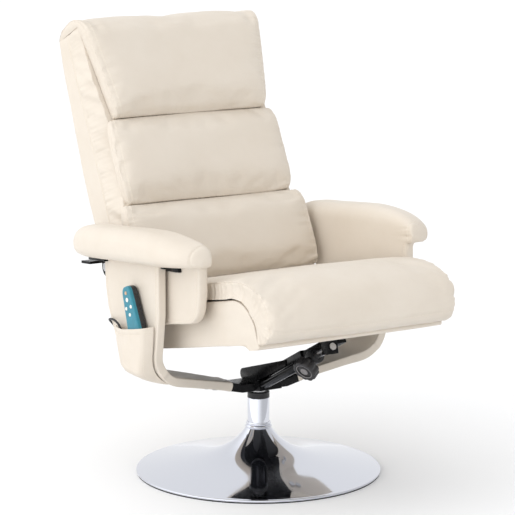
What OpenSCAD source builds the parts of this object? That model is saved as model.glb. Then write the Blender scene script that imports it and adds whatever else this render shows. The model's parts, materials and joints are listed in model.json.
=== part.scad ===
// Swivel massage recliner on a round pedestal.
// Millimetres, +Z up. The sitter faces -Y, and the sitter's right hand is at -X.
// The origin is on the floor, on the swivel axis.

/* [Pedestal] */
// Diameter of the round foot
foot_d = 560; // [500:10:640]
// Height of the foot's rim above its pad
foot_rim_h = 6; // [5:1:9]
// Sheet thickness of the foot
foot_t = 3; // [2:0.5:4]
// Thickness of the pad under the rim
pad_t = 2; // [1.5:0.5:3]
// Height at which the flared neck of the foot ends
neck_z = 104; // [96:1:112]
// Outer diameter of the column
column_d = 50; // [44:1:54]
// Height of the top of the column tube
column_z = 173; // [164:1:176]
// Thickness of the ballast plate
ballast_t = 6; // [4:1:7]
// Diameter of the swivel spindle
spindle_d = 30; // [24:1:32]

/* [Underframe] */
// Height of the crossbar's underside at the swivel axis
bar_z = 196; // [193:1:206]
// Thickness of the crossbar
bar_t = 18; // [14:1:22]
// Depth of the crossbar, front to back
bar_w = 60; // [54:1:66]
// Half length of the crossbar
bar_half = 100; // [92:1:112]
// Rise of the crossbar's outer arms, in degrees
bar_rise = 13; // [10:0.5:15]
// Distance from an arm's inner face to the outer face of its side frame
side_set = 52; // [50:1:58]
// Thickness of a padded side frame
side_t = 20; // [18:1:22]
// Outer radius of the bend at the bottom of a side frame
side_bend_r = 85; // [60:1:96]
// Reach of a side frame in front of the swivel axis
side_front = 86; // [76:1:96]
// Reach of a side frame behind the swivel axis, at its top
side_rear = 158; // [150:1:166]

/* [Arms] */
// Height of the arm's underside above the swivel axis
arm_z = 516; // [500:1:530]
// Upward tilt of the arms towards the front, in degrees
arm_tilt = 5.5; // [3:0.5:8]
// Gap between the seat box and an arm
arm_gap = 20; // [16:1:24]
// Width of an arm
arm_w = 92; // [86:1:100]
// Height of the arm roll
arm_h = 76; // [66:1:84]
// Reach of the arm roll in front of the swivel axis
arm_front = 230; // [222:1:250]
// Reach of the arm roll behind the swivel axis
arm_rear = 264; // [256:1:272]
// Thickness of the apron that hangs inside each arm
apron_t = 24; // [20:1:26]
// Depth of the apron below the roll at its rear
apron_h = 158; // [140:1:164]

/* [Seat] */
// Height of the seat box's underside above the swivel axis
seat_z = 314; // [306:1:322]
// Rise of the seat towards the front, in degrees
seat_tilt = 12; // [10:0.5:13]
// Width of the seat box
seat_w = 476; // [460:2:480]
// Height of the seat box
seat_h = 100; // [94:1:106]
// Reach of the seat box in front of the swivel axis, along its slope
seat_front = 388; // [376:1:396]
// Reach of the seat box behind the swivel axis, along its slope
seat_rear = 130; // [122:1:134]
// Thickness of the seat cushion at its sides
cushion_t = 36; // [30:1:38]
// Extra height of the seat cushion's crown
cushion_crown = 9; // [4:1:12]
// Overhang of the seat cushion in front of the seat box
nose = 80; // [70:1:90]

/* [Back] */
// Distance behind the swivel axis at which the back's front plane starts
back_y = 135; // [132:1:140]
// Height at which the back's front plane starts
back_z = 430; // [428:1:436]
// Lean of the back from the vertical, in degrees
back_lean = 26; // [24:0.5:28]
// Width of the back
back_w = 480; // [464:2:484]
// Length of the back shell
back_h = 615; // [590:5:640]
// Depth of the foam core with its side gusset
core_t = 40; // [34:1:44]
// Depth of the rear shell at its thickest
shell_t = 88; // [82:1:94]
// Height of the seam between the lower and the middle pillow, along the back
seam_low = 189; // [180:1:198]
// Height of the seam between the middle and the head pillow, along the back
seam_high = 397; // [386:1:408]
// Width of the lower pillow
low_w = 476; // [464:2:496]
// Width of the middle pillow
mid_w = 452; // [436:2:476]
// Width of the head pillow
head_w = 476; // [460:2:484]
// Crown of the lower pillow
low_crown = 40; // [30:1:44]
// Crown of the middle pillow
mid_crown = 34; // [26:1:40]
// Crown of the head pillow
head_crown = 42; // [34:1:46]

/* [Recline linkage] */
// Recline travel of the back, in degrees
recline = 25; // [15:1:25]
// Slope of the seat's slide, in degrees
slide_slope = 27; // [25:0.5:29]
// Distance from the back's pivot to the pin that drives the seat
crank_r = 110; // [100:1:116]
// Diameter of the pivot bolts
pivot_d = 12; // [10:1:14]
// Outer diameter of the brake tube
tube_d = 22; // [20:1:24]
// Diameter of the clamp knob
knob_d = 56; // [46:1:60]

/* [Handset] */
// Length of the handset
handset_l = 160; // [150:1:166]
// Width of the handset at its widest
handset_w = 54; // [48:1:56]
// Thickness of the handset
handset_t = 22; // [20:1:23]
// Lean of the handset towards the back, in degrees
handset_lean = 22; // [16:1:26]
// Diameter of the handset's cord
cord_d = 5; // [4:0.5:5.5]

/* [Hidden] */

// Colours of the parts
chrome = "silver";
black_steel = "#1c1c1e";
leather = "#ece1cf";
plastic = "#222224";

// Clearances: a seated fit, a running fit, and between faces that slide past each other
seat_fit = 0.1;
run_fit = 0.05;
slide_gap = 0.3;
soft_gap = 0.3;

// The arms stand clear of the seat and of the lower pillow, whichever is wider
pillow_clear = 12;
back_clear = 18;
arm_in = max(seat_w / 2 + arm_gap, low_w / 2 + pillow_clear, back_w / 2 + back_clear);
side_x = arm_in + side_set;
// Overrun of every cut, and the number of straight pieces in a drawn arc
over = 1;
arc_n = 10;
$fn = 64;

// A point on an ellipse's arc, repeated from angle a0 to a1
function arc(cx, cy, rx, ry, a0, a1, n = arc_n) =
    [for (i = [0 : n]) let (a = a0 + (a1 - a0) * i / n) [cx + rx * cos(a), cy + ry * sin(a)]];
function flip(list) = [for (i = [len(list) - 1 : -1 : 0]) list[i]];
function power(v, e) = sign(v) * pow(abs(v), e);
// 1 in the middle of a soft form, falling to 0 at its ends u = -1 and 1
function fullness(u, e) = pow(max(0, 1 - pow(min(1, abs(u)), e)), 1 / e);
function mix(a, b, t) = a + (b - a) * t;

// A closed form through rings of points. A ring is an outer chain and, back again, an inner
// chain with as many points, so that each end closes with a ladder of triangles.
module loft(rings) {
    n = len(rings[0]);
    m = len(rings);
    points = [for (r = rings) for (p = r) p];
    sides = [for (i = [0 : m - 2]) for (j = [0 : n - 1]) let (k = (j + 1) % n)
        each [[i * n + j, i * n + k, (i + 1) * n + k], [i * n + j, (i + 1) * n + k, (i + 1) * n + j]]];
    rungs = [for (j = [0 : n / 2 - 2]) each [[j, n - 1 - j, j + 1], [j + 1, n - 1 - j, n - 2 - j]]];
    top = (m - 1) * n;
    ends = [for (f = rungs) each [f, [top + f[0], top + f[2], top + f[1]]]];
    polyhedron(points = points, faces = concat(sides, ends), convexity = 6);
}
// The same form, for rings that run the other way round
module loft_back(rings) loft([for (r = rings) flip(r)]);

// A solid from an outline in Y and Z, between two places along X
module slab_yz(points, x0, x1) {
    translate([x0, 0, 0])
        rotate([90, 0, 90])
            linear_extrude(x1 - x0) polygon(points);
}
// A solid from an outline in X and Z, between two places along Y
module slab_xz(points, y0, y1) {
    translate([0, y1, 0])
        rotate([90, 0, 0])
            linear_extrude(y1 - y0) polygon(points);
}
// A box between two corners
module block(a, b) translate(a) cube(b - a);
// A cylinder along X between two places
module rod_x(x0, x1, y, z, r) translate([x0, y, z]) rotate([0, 90, 0]) cylinder(h = x1 - x0, r = r);
// Both sides of a pair
module pair() {
    children();
    mirror([1, 0, 0]) children();
}

// Heights in the pedestal
ballast_z = 6;
rim_z = pad_t;
column_r = column_d / 2;
column_wall = 2.5;
spindle_r = spindle_d / 2;
neck_r = column_r + seat_fit + foot_t;
rim_roll = 5;
rim_top = rim_z + foot_rim_h;
cone_h = 48;
flare_power = 6.5;
bell_n = 11;
bell_crowd = 1.6;
pad_out = 2;
cap_h = 14;
cap_lip = 0.5;
cap_skirt = 34;
cap_edge = 1.5;
shoulder_gap = 0.3;
shoulder_r = 18;
bush_z = 50;
bush_h = 28;
foot_r = foot_d / 2;
collar_h = 13;
collar_wall = 2.2;

module floor_pad() {
    color(plastic) cylinder(h = pad_t, r = foot_r - pad_out, $fn = 96);
}

// Top of the foot from the neck at 0 to the rim at 1: a shallow cone that flares up to the neck
bell_run = foot_r - rim_roll / 2 - neck_r;
flare_h = neck_z - rim_top - cone_h;
function bell(u) =
    [neck_r + bell_run * u, rim_top + cone_h * (1 - u) + flare_h * pow(1 - u, flare_power)];
function bell_lean(u) = atan((cone_h + flare_h * flare_power * pow(1 - u, flare_power - 1)) / bell_run);

module foot_dish() {
    shares = [for (i = [0 : bell_n]) pow(i / bell_n, bell_crowd)];
    top_side = concat(
        [for (u = shares) bell(u)],
        [[foot_r, rim_top - rim_roll / 2], [foot_r, rim_z]]);
    under_side = concat(
        [[neck_r - foot_t, neck_z]],
        [for (u = shares) bell(u) - foot_t * [sin(bell_lean(u)), cos(bell_lean(u))]],
        [[foot_r - foot_t, rim_z]]);
    color(chrome)
        rotate_extrude($fn = 96) polygon(concat(top_side, flip(under_side)));
}

// The ballast's edge carries the dish where the two meet
ballast_share = 1 - (ballast_z + ballast_t + foot_t / cos(bell_lean(1)) - rim_top) / cone_h;
ballast_r = neck_r + bell_run * ballast_share - seat_fit;
bolt_r = 6;
bolt_head_r = 10;
bolt_head_h = 4;
plug_h = 18;

module foot_ballast() {
    color("dimgray")
        translate([0, 0, ballast_z])
            difference() {
                cylinder(h = ballast_t, r = ballast_r, $fn = 96);
                translate([0, 0, -over]) cylinder(h = ballast_t + 2 * over, r = bolt_r + seat_fit);
            }
}

module foot_collar() {
    rounding = collar_wall / 2;
    color(chrome)
        rotate_extrude()
            translate([column_r + seat_fit, neck_z])
                polygon([[0, 0], [foot_t + collar_wall - rounding, 0], [foot_t + collar_wall, rounding],
                         [foot_t + collar_wall, collar_h / 3], [collar_wall, collar_h], [0, collar_h]]);
}

// Tube with a plug that the tie bolt screws into
module column_tube() {
    floor_z = ballast_z + ballast_t;
    color(chrome)
        translate([0, 0, floor_z])
            difference() {
                cylinder(h = column_z - floor_z, r = column_r);
                translate([0, 0, plug_h]) cylinder(h = column_z, r = column_r - column_wall);
                translate([0, 0, -over]) cylinder(h = column_z, r = bolt_r + seat_fit);
            }
}

module tie_bolt() {
    color("gray") {
        translate([0, 0, ballast_z - bolt_head_h]) cylinder(h = bolt_head_h, r = bolt_head_r, $fn = 6);
        translate([0, 0, ballast_z]) cylinder(h = ballast_t + plug_h, r = bolt_r);
    }
}

// Guide bush with the black ring that shows at the top of the column
module column_cap() {
    bore_r = spindle_r + run_fit;
    skirt_r = column_r - column_wall - seat_fit;
    ring_r = column_r + cap_lip;
    color(plastic)
        rotate_extrude()
            polygon([[bore_r, column_z - cap_skirt], [skirt_r, column_z - cap_skirt], [skirt_r, column_z],
                     [ring_r, column_z], [ring_r, column_z + cap_h - cap_edge],
                     [ring_r - cap_edge, column_z + cap_h], [bore_r, column_z + cap_h]]);
}

module lower_bush() {
    color("ivory")
        translate([0, 0, bush_z])
            difference() {
                cylinder(h = bush_h, r = column_r - column_wall - seat_fit);
                translate([0, 0, -over]) cylinder(h = bush_h + 2 * over, r = spindle_r + run_fit);
            }
}

// Swivel spindle, shouldered under the crossbar and threaded for its nut above the boss
boss_h = 20;
boss_r = 24;
nut_h = 8;
nut_r = 20;
spindle_foot = 6;

module spindle() {
    top_z = bar_z + bar_t + boss_h + nut_h;
    shoulder_z = column_z + cap_h + shoulder_gap;
    color("lightgray") {
        translate([0, 0, bush_z - spindle_foot]) cylinder(h = top_z - bush_z + spindle_foot, r = spindle_r);
        translate([0, 0, shoulder_z]) cylinder(h = bar_z - shoulder_z, r = shoulder_r);
    }
}

module spindle_nut() {
    color("gray")
        translate([0, 0, bar_z + bar_t + boss_h])
            difference() {
                cylinder(h = nut_h, r = nut_r, $fn = 6);
                translate([0, 0, -over]) cylinder(h = nut_h + 2 * over, r = spindle_r + seat_fit);
            }
}

// Line of the seat's slide: the brake tube's axis leaves the front of the crossbar here
strut_y = 48;
strut_z = bar_z + 16;
tube_x = -17;
sleeve_x = 12;
sleeve_w = 34;
sleeve_h = 30;
sleeve_lift = 18;
sleeve_wall = 3.5;
sleeve_l = 165;
collar_at = 236;
collar_l = 26;
collar_r = 17;
tube_r = tube_d / 2;
rod_r = 8;
bar_flat = 60;
tongue_l = 50;
tongue_t = 8;
gusset_t = 5;
gusset_gap = 1;
gusset_r = 13;
gusset_tip_y = 18;
gusset_front = 160;
gusset_front_z = 80;
gusset_deep = 14;
strut_block_drop = 13;
strut_block_rise = 34;

module on_strut() translate([0, -strut_y, strut_z]) rotate([-slide_slope, 0, 0]) children();
// Place along the strut and off it, as Y and Z of the chair
function strut_yz(y, z) = [
    -strut_y + y * cos(slide_slope) + z * sin(slide_slope),
    strut_z - y * sin(slide_slope) + z * cos(slide_slope)];

// Underside of the crossbar and of the side frames' lower run
function run_z(x) = bar_z + max(0, abs(x) - bar_flat) * tan(bar_rise);
frame_bolt_r = 4;
frame_bolt_share = [0.3, 0.72];
frame_bolt_in = tongue_l * frame_bolt_share;

module crossbar() {
    outline = [[-bar_half, run_z(bar_half)], [-bar_flat, bar_z], [bar_flat, bar_z],
        [bar_half, run_z(bar_half)], [bar_half, run_z(bar_half) + bar_t], [bar_flat, bar_z + bar_t],
        [-bar_flat, bar_z + bar_t], [-bar_half, run_z(bar_half) + bar_t]];
    tongue_z = (side_t - tongue_t) / 2;
    tongue_end = bar_half + tongue_l;
    tongue = [[bar_half, run_z(bar_half) + tongue_z], [tongue_end, run_z(tongue_end) + tongue_z],
        [tongue_end, run_z(tongue_end) + tongue_z + tongue_t],
        [bar_half, run_z(bar_half) + tongue_z + tongue_t]];
    gusset_x = sleeve_x + sleeve_w / 2 + gusset_gap;
    half_w = bar_w / 2;
    top_z = bar_z + bar_t;
    gusset = concat(
        [for (p = arc(gusset_tip_y, top_z + gusset_r, gusset_r, gusset_r, -90, 70)) p],
        [[-gusset_front, top_z + gusset_front_z], [-gusset_front, top_z + gusset_front_z - gusset_deep],
         strut_yz(gusset_gap, tube_r + over), [-half_w, top_z]]);
    color(black_steel) {
        difference() {
            union() {
                slab_xz(outline, -half_w, half_w);
                translate([0, 0, top_z]) cylinder(h = boss_h, r = boss_r);
            }
            translate([0, 0, bar_z - over])
                cylinder(h = bar_t + boss_h + 2 * over, r = spindle_r + seat_fit);
        }
        pair() difference() {
            slab_xz(tongue, -half_w / 2, half_w / 2);
            for (d = frame_bolt_in)
                translate([bar_half + d, 0, 0]) cylinder(h = 2 * bar_z, r = frame_bolt_r + seat_fit);
        }
        slab_yz([[-half_w, bar_z], strut_yz(0, -strut_block_drop), strut_yz(0, strut_block_rise),
                 [-half_w, top_z + boss_h]],
                tube_x - tube_r, sleeve_x + sleeve_w / 2);
        slab_yz(gusset, -gusset_x, gusset_t - gusset_x);
        slab_yz(gusset, gusset_x, gusset_x + gusset_t);
    }
}

module slide_sleeve() {
    color(black_steel)
        on_strut() translate([sleeve_x, 0, sleeve_lift]) difference() {
            block([-sleeve_w / 2, -sleeve_l, -sleeve_h / 2], [sleeve_w / 2, 0, sleeve_h / 2]);
            block([sleeve_wall - sleeve_w / 2, -sleeve_l - over, sleeve_wall - sleeve_h / 2],
                  [sleeve_w / 2 - sleeve_wall, over, sleeve_h / 2 - sleeve_wall]);
        }
}

module brake_tube() {
    color("#2b2b2e")
        on_strut() translate([tube_x, 0, 0]) rotate([90, 0, 0]) difference() {
            cylinder(h = collar_at - collar_l / 2, r = tube_r);
            translate([0, 0, -over]) cylinder(h = collar_at, r = rod_r + seat_fit);
        }
}

// Frame of the knob: its axis points out of the brake collar, and Y runs along the strut
knob_turn = 40;
knob_in = 27;
knob_out = 48;
screw_r = 4;
module on_knob() on_strut() translate([tube_x, -collar_at, 0]) rotate([0, -90 - knob_turn, 0]) children();

module brake_collar() {
    color(plastic)
        difference() {
            union() {
                on_strut() translate([tube_x, collar_l / 2 - collar_at, 0]) rotate([90, 0, 0])
                    cylinder(h = collar_l, r = collar_r);
                on_knob() cylinder(h = knob_in - slide_gap, r = collar_l / 2 - over);
            }
            on_strut() translate([tube_x, 0, 0]) rotate([90, 0, 0])
                cylinder(h = collar_at + collar_l, r = rod_r + seat_fit);
            on_knob() cylinder(h = knob_out, r = screw_r + run_fit);
        }
}

// Side frames: a leather-wrapped board, bent in under the seat to meet the crossbar
bend_x = side_x - side_bend_r;
bend_z = run_z(bend_x) + side_bend_r / cos(bar_rise);
side_low_rear = 90;
side_knee_z = 262;
side_knee_up_share = [0, 0.2, 0.36, 0.57, 0.77];
side_knee_out_share = [0, 0.09, 0.4, 0.78, 0.94];
rail_t = 10;
function rail_under(y) = arm_z - rail_t / cos(arm_tilt) - y * tan(arm_tilt);
side_plan_along_share = [0.21, 0.53, 0.79, 0.97];
side_plan_wide_share = [0.17, 0.5, 0.8, 0.97];
grommet_y = 62;
grommet_z = 330;
grommet_stem_r = 5;
grommet_stem_l = 8;

module side_frame(with_hole) {
    face = concat(
        [[bar_half, run_z(bar_half)]],
        [for (p = arc(bend_x, bend_z, side_bend_r, side_bend_r, bar_rise - 90, 0)) p],
        [[side_x, 2 * arm_z], [side_x - side_t, 2 * arm_z]],
        [for (p = arc(bend_x, bend_z, side_bend_r - side_t, side_bend_r - side_t, 0, bar_rise - 90)) p],
        [[bar_half, run_z(bar_half) + side_t / cos(bar_rise)]]);
    rear_edge = [for (i = [0 : len(side_knee_up_share) - 1])
        [mix(side_low_rear, side_rear, side_knee_out_share[i]),
         mix(side_knee_z, rail_under(side_rear), side_knee_up_share[i])]];
    side_view = concat(
        [[side_low_rear, 0]], rear_edge, [[side_rear, rail_under(side_rear)]],
        [[-side_front, rail_under(-side_front)], [-side_front, 0]]);
    half_w = bar_w / 2;
    plan_n = len(side_plan_along_share) - 1;
    plan_x = [for (s = side_plan_along_share) mix(bar_half, side_x - side_t, s)];
    plan = concat(
        [[bar_half, -half_w]],
        [for (i = [0 : plan_n]) [plan_x[i], mix(-half_w, -side_front, side_plan_wide_share[i])]],
        [[side_x - side_t, -side_front], [side_x + over, -side_front], [side_x + over, side_rear],
         [side_x - side_t, side_rear], [side_x - side_t, side_low_rear]],
        [for (i = [plan_n : -1 : 0]) [plan_x[i], mix(half_w, side_low_rear, side_plan_wide_share[i])]],
        [[bar_half, half_w]]);
    slot_z = (side_t - tongue_t) / 2 - seat_fit;
    slot_t = tongue_t + 2 * seat_fit;
    slot_end = bar_half + tongue_l + seat_fit;
    slot = [[bar_half - over, run_z(bar_half - over) + slot_z], [slot_end, run_z(slot_end) + slot_z],
        [slot_end, run_z(slot_end) + slot_z + slot_t],
        [bar_half - over, run_z(bar_half - over) + slot_z + slot_t]];
    color(leather) difference() {
        intersection() {
            slab_xz(face, -side_front, side_rear);
            slab_yz(side_view, 0, side_x + over);
            linear_extrude(arm_z + side_front) polygon(plan);
        }
        slab_xz(slot, -half_w / 2 - seat_fit, half_w / 2 + seat_fit);
        for (d = frame_bolt_in)
            translate([bar_half + d, 0, 0])
                cylinder(h = run_z(bar_half + d) + side_t / 2, r = frame_bolt_r + seat_fit);
        on_arm() for (y = rail_screw_y)
            translate([side_x - side_t / 2, y, -rail_t - rail_screw_l])
                cylinder(h = 2 * rail_screw_l, r = rail_screw_r + seat_fit);
        if (with_hole)
            rod_x(side_x - side_t - over, side_x - side_t + grommet_stem_l + seat_fit,
                  grommet_y, grommet_z, grommet_stem_r + seat_fit);
    }
}
module left_side_frame() mirror([1, 0, 0]) side_frame(true);
module right_side_frame() side_frame(false);

// Arms: a steel rail on the side frame carries the roll, and the apron hangs inside
module on_arm() translate([0, 0, arm_z]) rotate([-arm_tilt, 0, 0]) children();
rail_inset = 4;
rail_proud = 12;
rail_in = side_x - side_t - rail_inset;
rail_w = rail_inset + side_t + rail_proud;
rail_front = 166;
rail_rear = 244;
rail_screw_share = [0.11, 0.43, 0.76];
rail_screw_y = [for (s = rail_screw_share) mix(-side_front, side_rear, s)];
rail_screw_r = 3;
rail_screw_l = 24;

module arm_rails() {
    rail_mid = side_x - side_t / 2;
    color(black_steel) pair() on_arm() difference() {
        block([rail_in, -rail_front, -rail_t], [rail_in + rail_w, rail_rear, 0]);
        for (y = rail_screw_y)
            translate([rail_mid, y, -rail_t - over])
                cylinder(h = rail_t + 2 * over, r = rail_screw_r + seat_fit);
    }
}

// Bolts under the side frames' lower run, and screws down through the rails
module frame_fasteners() {
    head_h = frame_bolt_r * 0.6;
    color("gray") pair() for (d = frame_bolt_in) {
        z = run_z(bar_half + d - 2 * frame_bolt_r);
        translate([bar_half + d, 0, z - head_h]) cylinder(h = head_h, r = 2 * frame_bolt_r);
        translate([bar_half + d, 0, z - head_h])
            cylinder(h = head_h + side_t / 2 + tongue_t / 2, r = frame_bolt_r);
    }
    color("gray") pair() on_arm() for (y = rail_screw_y)
        translate([side_x - side_t / 2, y, -rail_t - rail_screw_l])
            cylinder(h = rail_screw_l + rail_t - soft_gap, r = rail_screw_r);
}

// Cross-section of the arm roll, from its inner foot over the top to its outer foot
roll_in_r = 34;
roll_out_r = 38;
roll_foot_r = 26;
roll_seam = 3;
roll_station_shares = [0, 0.02, 0.06, 0.12, 0.2, 0.3, 0.6, 0.78, 0.88, 0.94, 0.98, 1];
roll_end_share = 0.52;
roll_round = 78;
nose_wide_share = 0.36;
nose_wide_round = 150;
nose_high_share = 0.62;
nose_high_round = 105;

function roll_outer(h) = concat(
    [[0, roll_seam]],
    [for (p = arc(roll_in_r, h - roll_in_r, roll_in_r, roll_in_r, 180, 90, 6)) p],
    [for (p = arc(arm_w - roll_out_r, h - roll_out_r, roll_out_r, roll_out_r, 90, 0, 6)) p],
    [for (p = arc(arm_w - roll_foot_r, roll_foot_r, roll_foot_r, roll_foot_r, 0, -86, 5)) p]);
function roll_ring(t) =
    let (y = mix(-arm_front, arm_rear, t),
         front_gap = y + arm_front,
         s = mix(roll_end_share, 1, fullness(max(0, 1 - (arm_rear - y) / roll_round), 2.2)),
         wide = mix(nose_wide_share, 1, fullness(max(0, 1 - front_gap / nose_wide_round), 2)),
         high = mix(nose_high_share, 1, fullness(max(0, 1 - front_gap / nose_high_round), 2.4)),
         outer = roll_outer(arm_h),
         n = len(outer),
         foot_w = arm_w - roll_foot_r - roll_seam,
         inner = [for (i = [0 : n - 1]) [foot_w * i / (n - 1), 0]],
         cx = arm_w * 0.4,
         cz = arm_h * 0.3)
    [for (p = concat(outer, flip(inner)))
        [arm_in + wide * mix(cx, p[0], s), y, high * mix(cz, p[1], s)]];

module arm_roll() color(leather) on_arm() loft_back([for (t = roll_station_shares) roll_ring(t)]);
module right_arm_roll() arm_roll();
module left_arm_roll() mirror([1, 0, 0]) arm_roll();

// Outline of the apron: down its front edge, round its corner and along its lower edge
apron_front = 212;
apron_rear = 172;
apron_corner = 52;
apron_front_h = 128;
apron_slant = 10;
apron_step_shares = [[0, 0.94], [0.12, 0.985], [0.3, 1], [0.7, 1], [0.88, 0.985], [1, 0.95]];
function apron_chain() = concat(
    [[-apron_front, -soft_gap]],
    [[-apron_front + apron_slant / 2, -apron_front_h / 2]],
    [for (p = arc(-apron_front + apron_slant + apron_corner, -apron_front_h + apron_corner,
                  apron_corner, apron_corner, 180, 262, 7)) p],
    [for (i = [1 : 4]) [mix(-apron_front + apron_slant + apron_corner, apron_rear, i / 4),
                        mix(-apron_front_h, -apron_h, i / 4)]]);
function apron_ring(step) =
    let (chain = apron_chain(),
         n = len(chain),
         top = [for (i = [0 : n - 1]) [mix(-apron_front, apron_rear, (i + 1) / n), -soft_gap]],
         cy = (apron_rear - apron_front) / 2,
         cz = -apron_front_h / 2)
    [for (p = concat(chain, flip(top)))
        [arm_in + apron_t * step[0], mix(cy, p[0], step[1]), mix(cz, p[1], step[1])]];

module arm_apron() color(leather) on_arm() loft([for (s = apron_step_shares) apron_ring(s)]);
module right_arm_apron() arm_apron();
module left_arm_apron() mirror([1, 0, 0]) arm_apron();

// Seat frame of reference: Y along the seat's slope, Z square to it
module on_seat() translate([0, 0, seat_z]) rotate([-seat_tilt, 0, 0]) children();
module on_back() translate([0, back_y, back_z]) rotate([-back_lean, 0, 0]) children();
function back_yz(y, z) = [
    back_y + y * cos(back_lean) + z * sin(back_lean), back_z - y * sin(back_lean) + z * cos(back_lean)];
function to_seat(p) = [
    p[0] * cos(seat_tilt) - (p[1] - seat_z) * sin(seat_tilt),
    p[0] * sin(seat_tilt) + (p[1] - seat_z) * cos(seat_tilt)];

// Back pivot, and the pin below it that drives the seat along its slide
pivot_in = 62;
pivot_up = 70;
pivot = back_yz(pivot_in, pivot_up);
pivot_r = pivot_d / 2;
crank_rest = slide_slope - recline / 2;
crank = [pivot[0] - crank_r * sin(crank_rest), pivot[1] - crank_r * cos(crank_rest)];
bracket_set = 4;
bracket_in = arm_in + bracket_set;
bracket_t = 6;
bracket_w = 48;
link_in = seat_w / 2;
link_t = 4;
hinge_gap = 1;
back_half = back_w / 2;
shell_wall = 12;
hinge_in = max(link_in + link_t, back_half + hinge_gap) + hinge_gap;
hinge_t = 5;
hinge_r = 18;
pin_r = 5;

// Steel angle under the rear of each arm rail, with the eye of the back's pivot
module pivot_brackets() {
    eye_r = bracket_w / 2;
    tab_r = eye_r - bracket_t / 2;
    ly = pivot[0] * cos(arm_tilt) - (pivot[1] - arm_z) * sin(arm_tilt);
    lz = pivot[0] * sin(arm_tilt) + (pivot[1] - arm_z) * cos(arm_tilt);
    color(black_steel) pair() difference() {
        union() {
            on_arm() block([bracket_in, ly - tab_r, -rail_t - bracket_t],
                           [rail_in + rail_w, ly + tab_r, -rail_t]);
            on_arm() block([bracket_in, ly - tab_r, lz], [bracket_in + bracket_t, ly + tab_r, -rail_t]);
            rod_x(bracket_in, bracket_in + bracket_t, pivot[0], pivot[1], eye_r);
        }
        rod_x(bracket_in - over, bracket_in + bracket_t + over, pivot[0], pivot[1], pivot_r + seat_fit);
    }
}

frame_t = 24;
frame_gap = 2;
frame_in = back_half - shell_wall - frame_gap - frame_t;
module pivot_bolts() {
    head_t = pivot_r;
    bolt_in = frame_in + frame_t / 4;
    color("gray") pair() {
        rod_x(bolt_in, bracket_in + bracket_t, pivot[0], pivot[1], pivot_r);
        rod_x(bracket_in + bracket_t, bracket_in + bracket_t + head_t, pivot[0], pivot[1], 1.7 * pivot_r);
    }
}

// Pocket on the left side frame: a pouch that stands off the board
pocket_bottom = 276;
pocket_front_z = 386;
pocket_rear_z = 359;
pocket_front = 76;
pocket_rear = 97;
pocket_wall = 2;
pocket_slack = 5;
handset_gap = 4;
pocket_deep = handset_gap + handset_t + pocket_slack + pocket_wall;
pouch_along_share = [0, 0.02, 0.05, 0.1, 0.2, 0.4, 0.6, 0.78, 0.9, 0.97, 1];
pouch_deep_share = [0, 0.6, 0.88, 0.97, 1, 1, 0.9, 0.68, 0.42, 0.2, 0];
function pouch(front, rear, deep) = [for (i = [0 : len(pouch_along_share) - 1])
    [-side_x - deep * pouch_deep_share[i], mix(-front, rear, pouch_along_share[i])]];

module handset_pocket() {
    rim = [[-pocket_front - over, pocket_bottom], [-pocket_front - over, pocket_front_z],
        [pocket_rear + over, pocket_rear_z], [pocket_rear + over, pocket_bottom]];
    color(leather) difference() {
        intersection() {
            translate([0, 0, pocket_bottom])
                linear_extrude(pocket_front_z) polygon(pouch(pocket_front, pocket_rear, pocket_deep));
            slab_yz(rim, -side_x - pocket_deep - over, -side_x);
        }
        translate([0, 0, pocket_bottom + pocket_wall])
            linear_extrude(pocket_front_z)
                polygon(concat(
                    pouch(pocket_front - 2 * pocket_wall, pocket_rear - 2 * pocket_wall,
                          pocket_deep - pocket_wall),
                    [[-side_x + over, pocket_rear - 2 * pocket_wall],
                     [-side_x + over, 2 * pocket_wall - pocket_front]]));
    }
}

// Handset frame: Z along its length from its lower end, X square to its face
handset_x = side_x + handset_gap + handset_t / 2;
handset_y = 42;
handset_z = 314;
module on_handset() translate([-handset_x, -handset_y, handset_z]) rotate([-handset_lean, 0, 0]) children();
face_t = 8;
handset_wall = 2;
handset_end_r = 14;
foot_share = 0.84;
head_share = 0.62;
function handset_half(z) =
    let (t = z / handset_l,
         body = mix(mix(foot_share, 1, min(1, t / 0.35)), head_share, max(0, (t - 0.35) / 0.65)),
         low = 1 - pow(max(0, 1 - z / handset_end_r), 2) * 0.5,
         high = sqrt(max(0, 1 - pow(max(0, 1 - (handset_l - z) / handset_end_r), 2))) * 0.6 + 0.4)
    handset_w / 2 * body * low * high;
handset_step_shares = [0, 0.03, 0.09, 0.2, 0.35, 0.5, 0.7, 0.85, 0.94, 0.98, 1];
function handset_edge(inset, side) = [for (t = handset_step_shares)
    [side * (handset_half(t * handset_l) - inset), mix(inset, handset_l - inset, t)]];
function handset_outline(inset) = concat(handset_edge(inset, 1), flip(handset_edge(inset, -1)));

module handset_back() {
    face_x = face_t - handset_t / 2;
    color(plastic) on_handset() difference() {
        slab_yz(handset_outline(0), face_x, handset_t / 2);
        slab_yz(handset_outline(handset_wall), face_x - over, handset_t / 2 - handset_wall);
        translate([0, 0, -over]) cylinder(h = handset_end_r, r = cord_d / 2 + seat_fit);
    }
}

// Buttons on the face: power, mode, upper back, lower back and seat
button_r = 5;
small_r = 4;
button_across_share = [0, 0, -0.2, 0.2, 0];
button_along_share = [0.81, 0.905, 0.7, 0.7, 0.6];
button_radius = [button_r, small_r, small_r, small_r, small_r];
button_at = [for (i = [0 : len(button_radius) - 1])
    [handset_w * button_across_share[i], handset_l * button_along_share[i], button_radius[i]]];
button_travel = 1.2;
button_up = 1.6;
board_t = 1.6;
button_gap = 0.2;

module handset_face() {
    front = -handset_t / 2;
    color("#3fa9c4") on_handset() difference() {
        slab_yz(handset_outline(soft_gap), front, front + face_t);
        slab_yz(handset_outline(2 * handset_wall), front + handset_wall, front + face_t + over);
        for (b = button_at)
            rod_x(front - over, front + handset_wall + over, b[0], b[1], b[2] + button_gap);
    }
}

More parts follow.
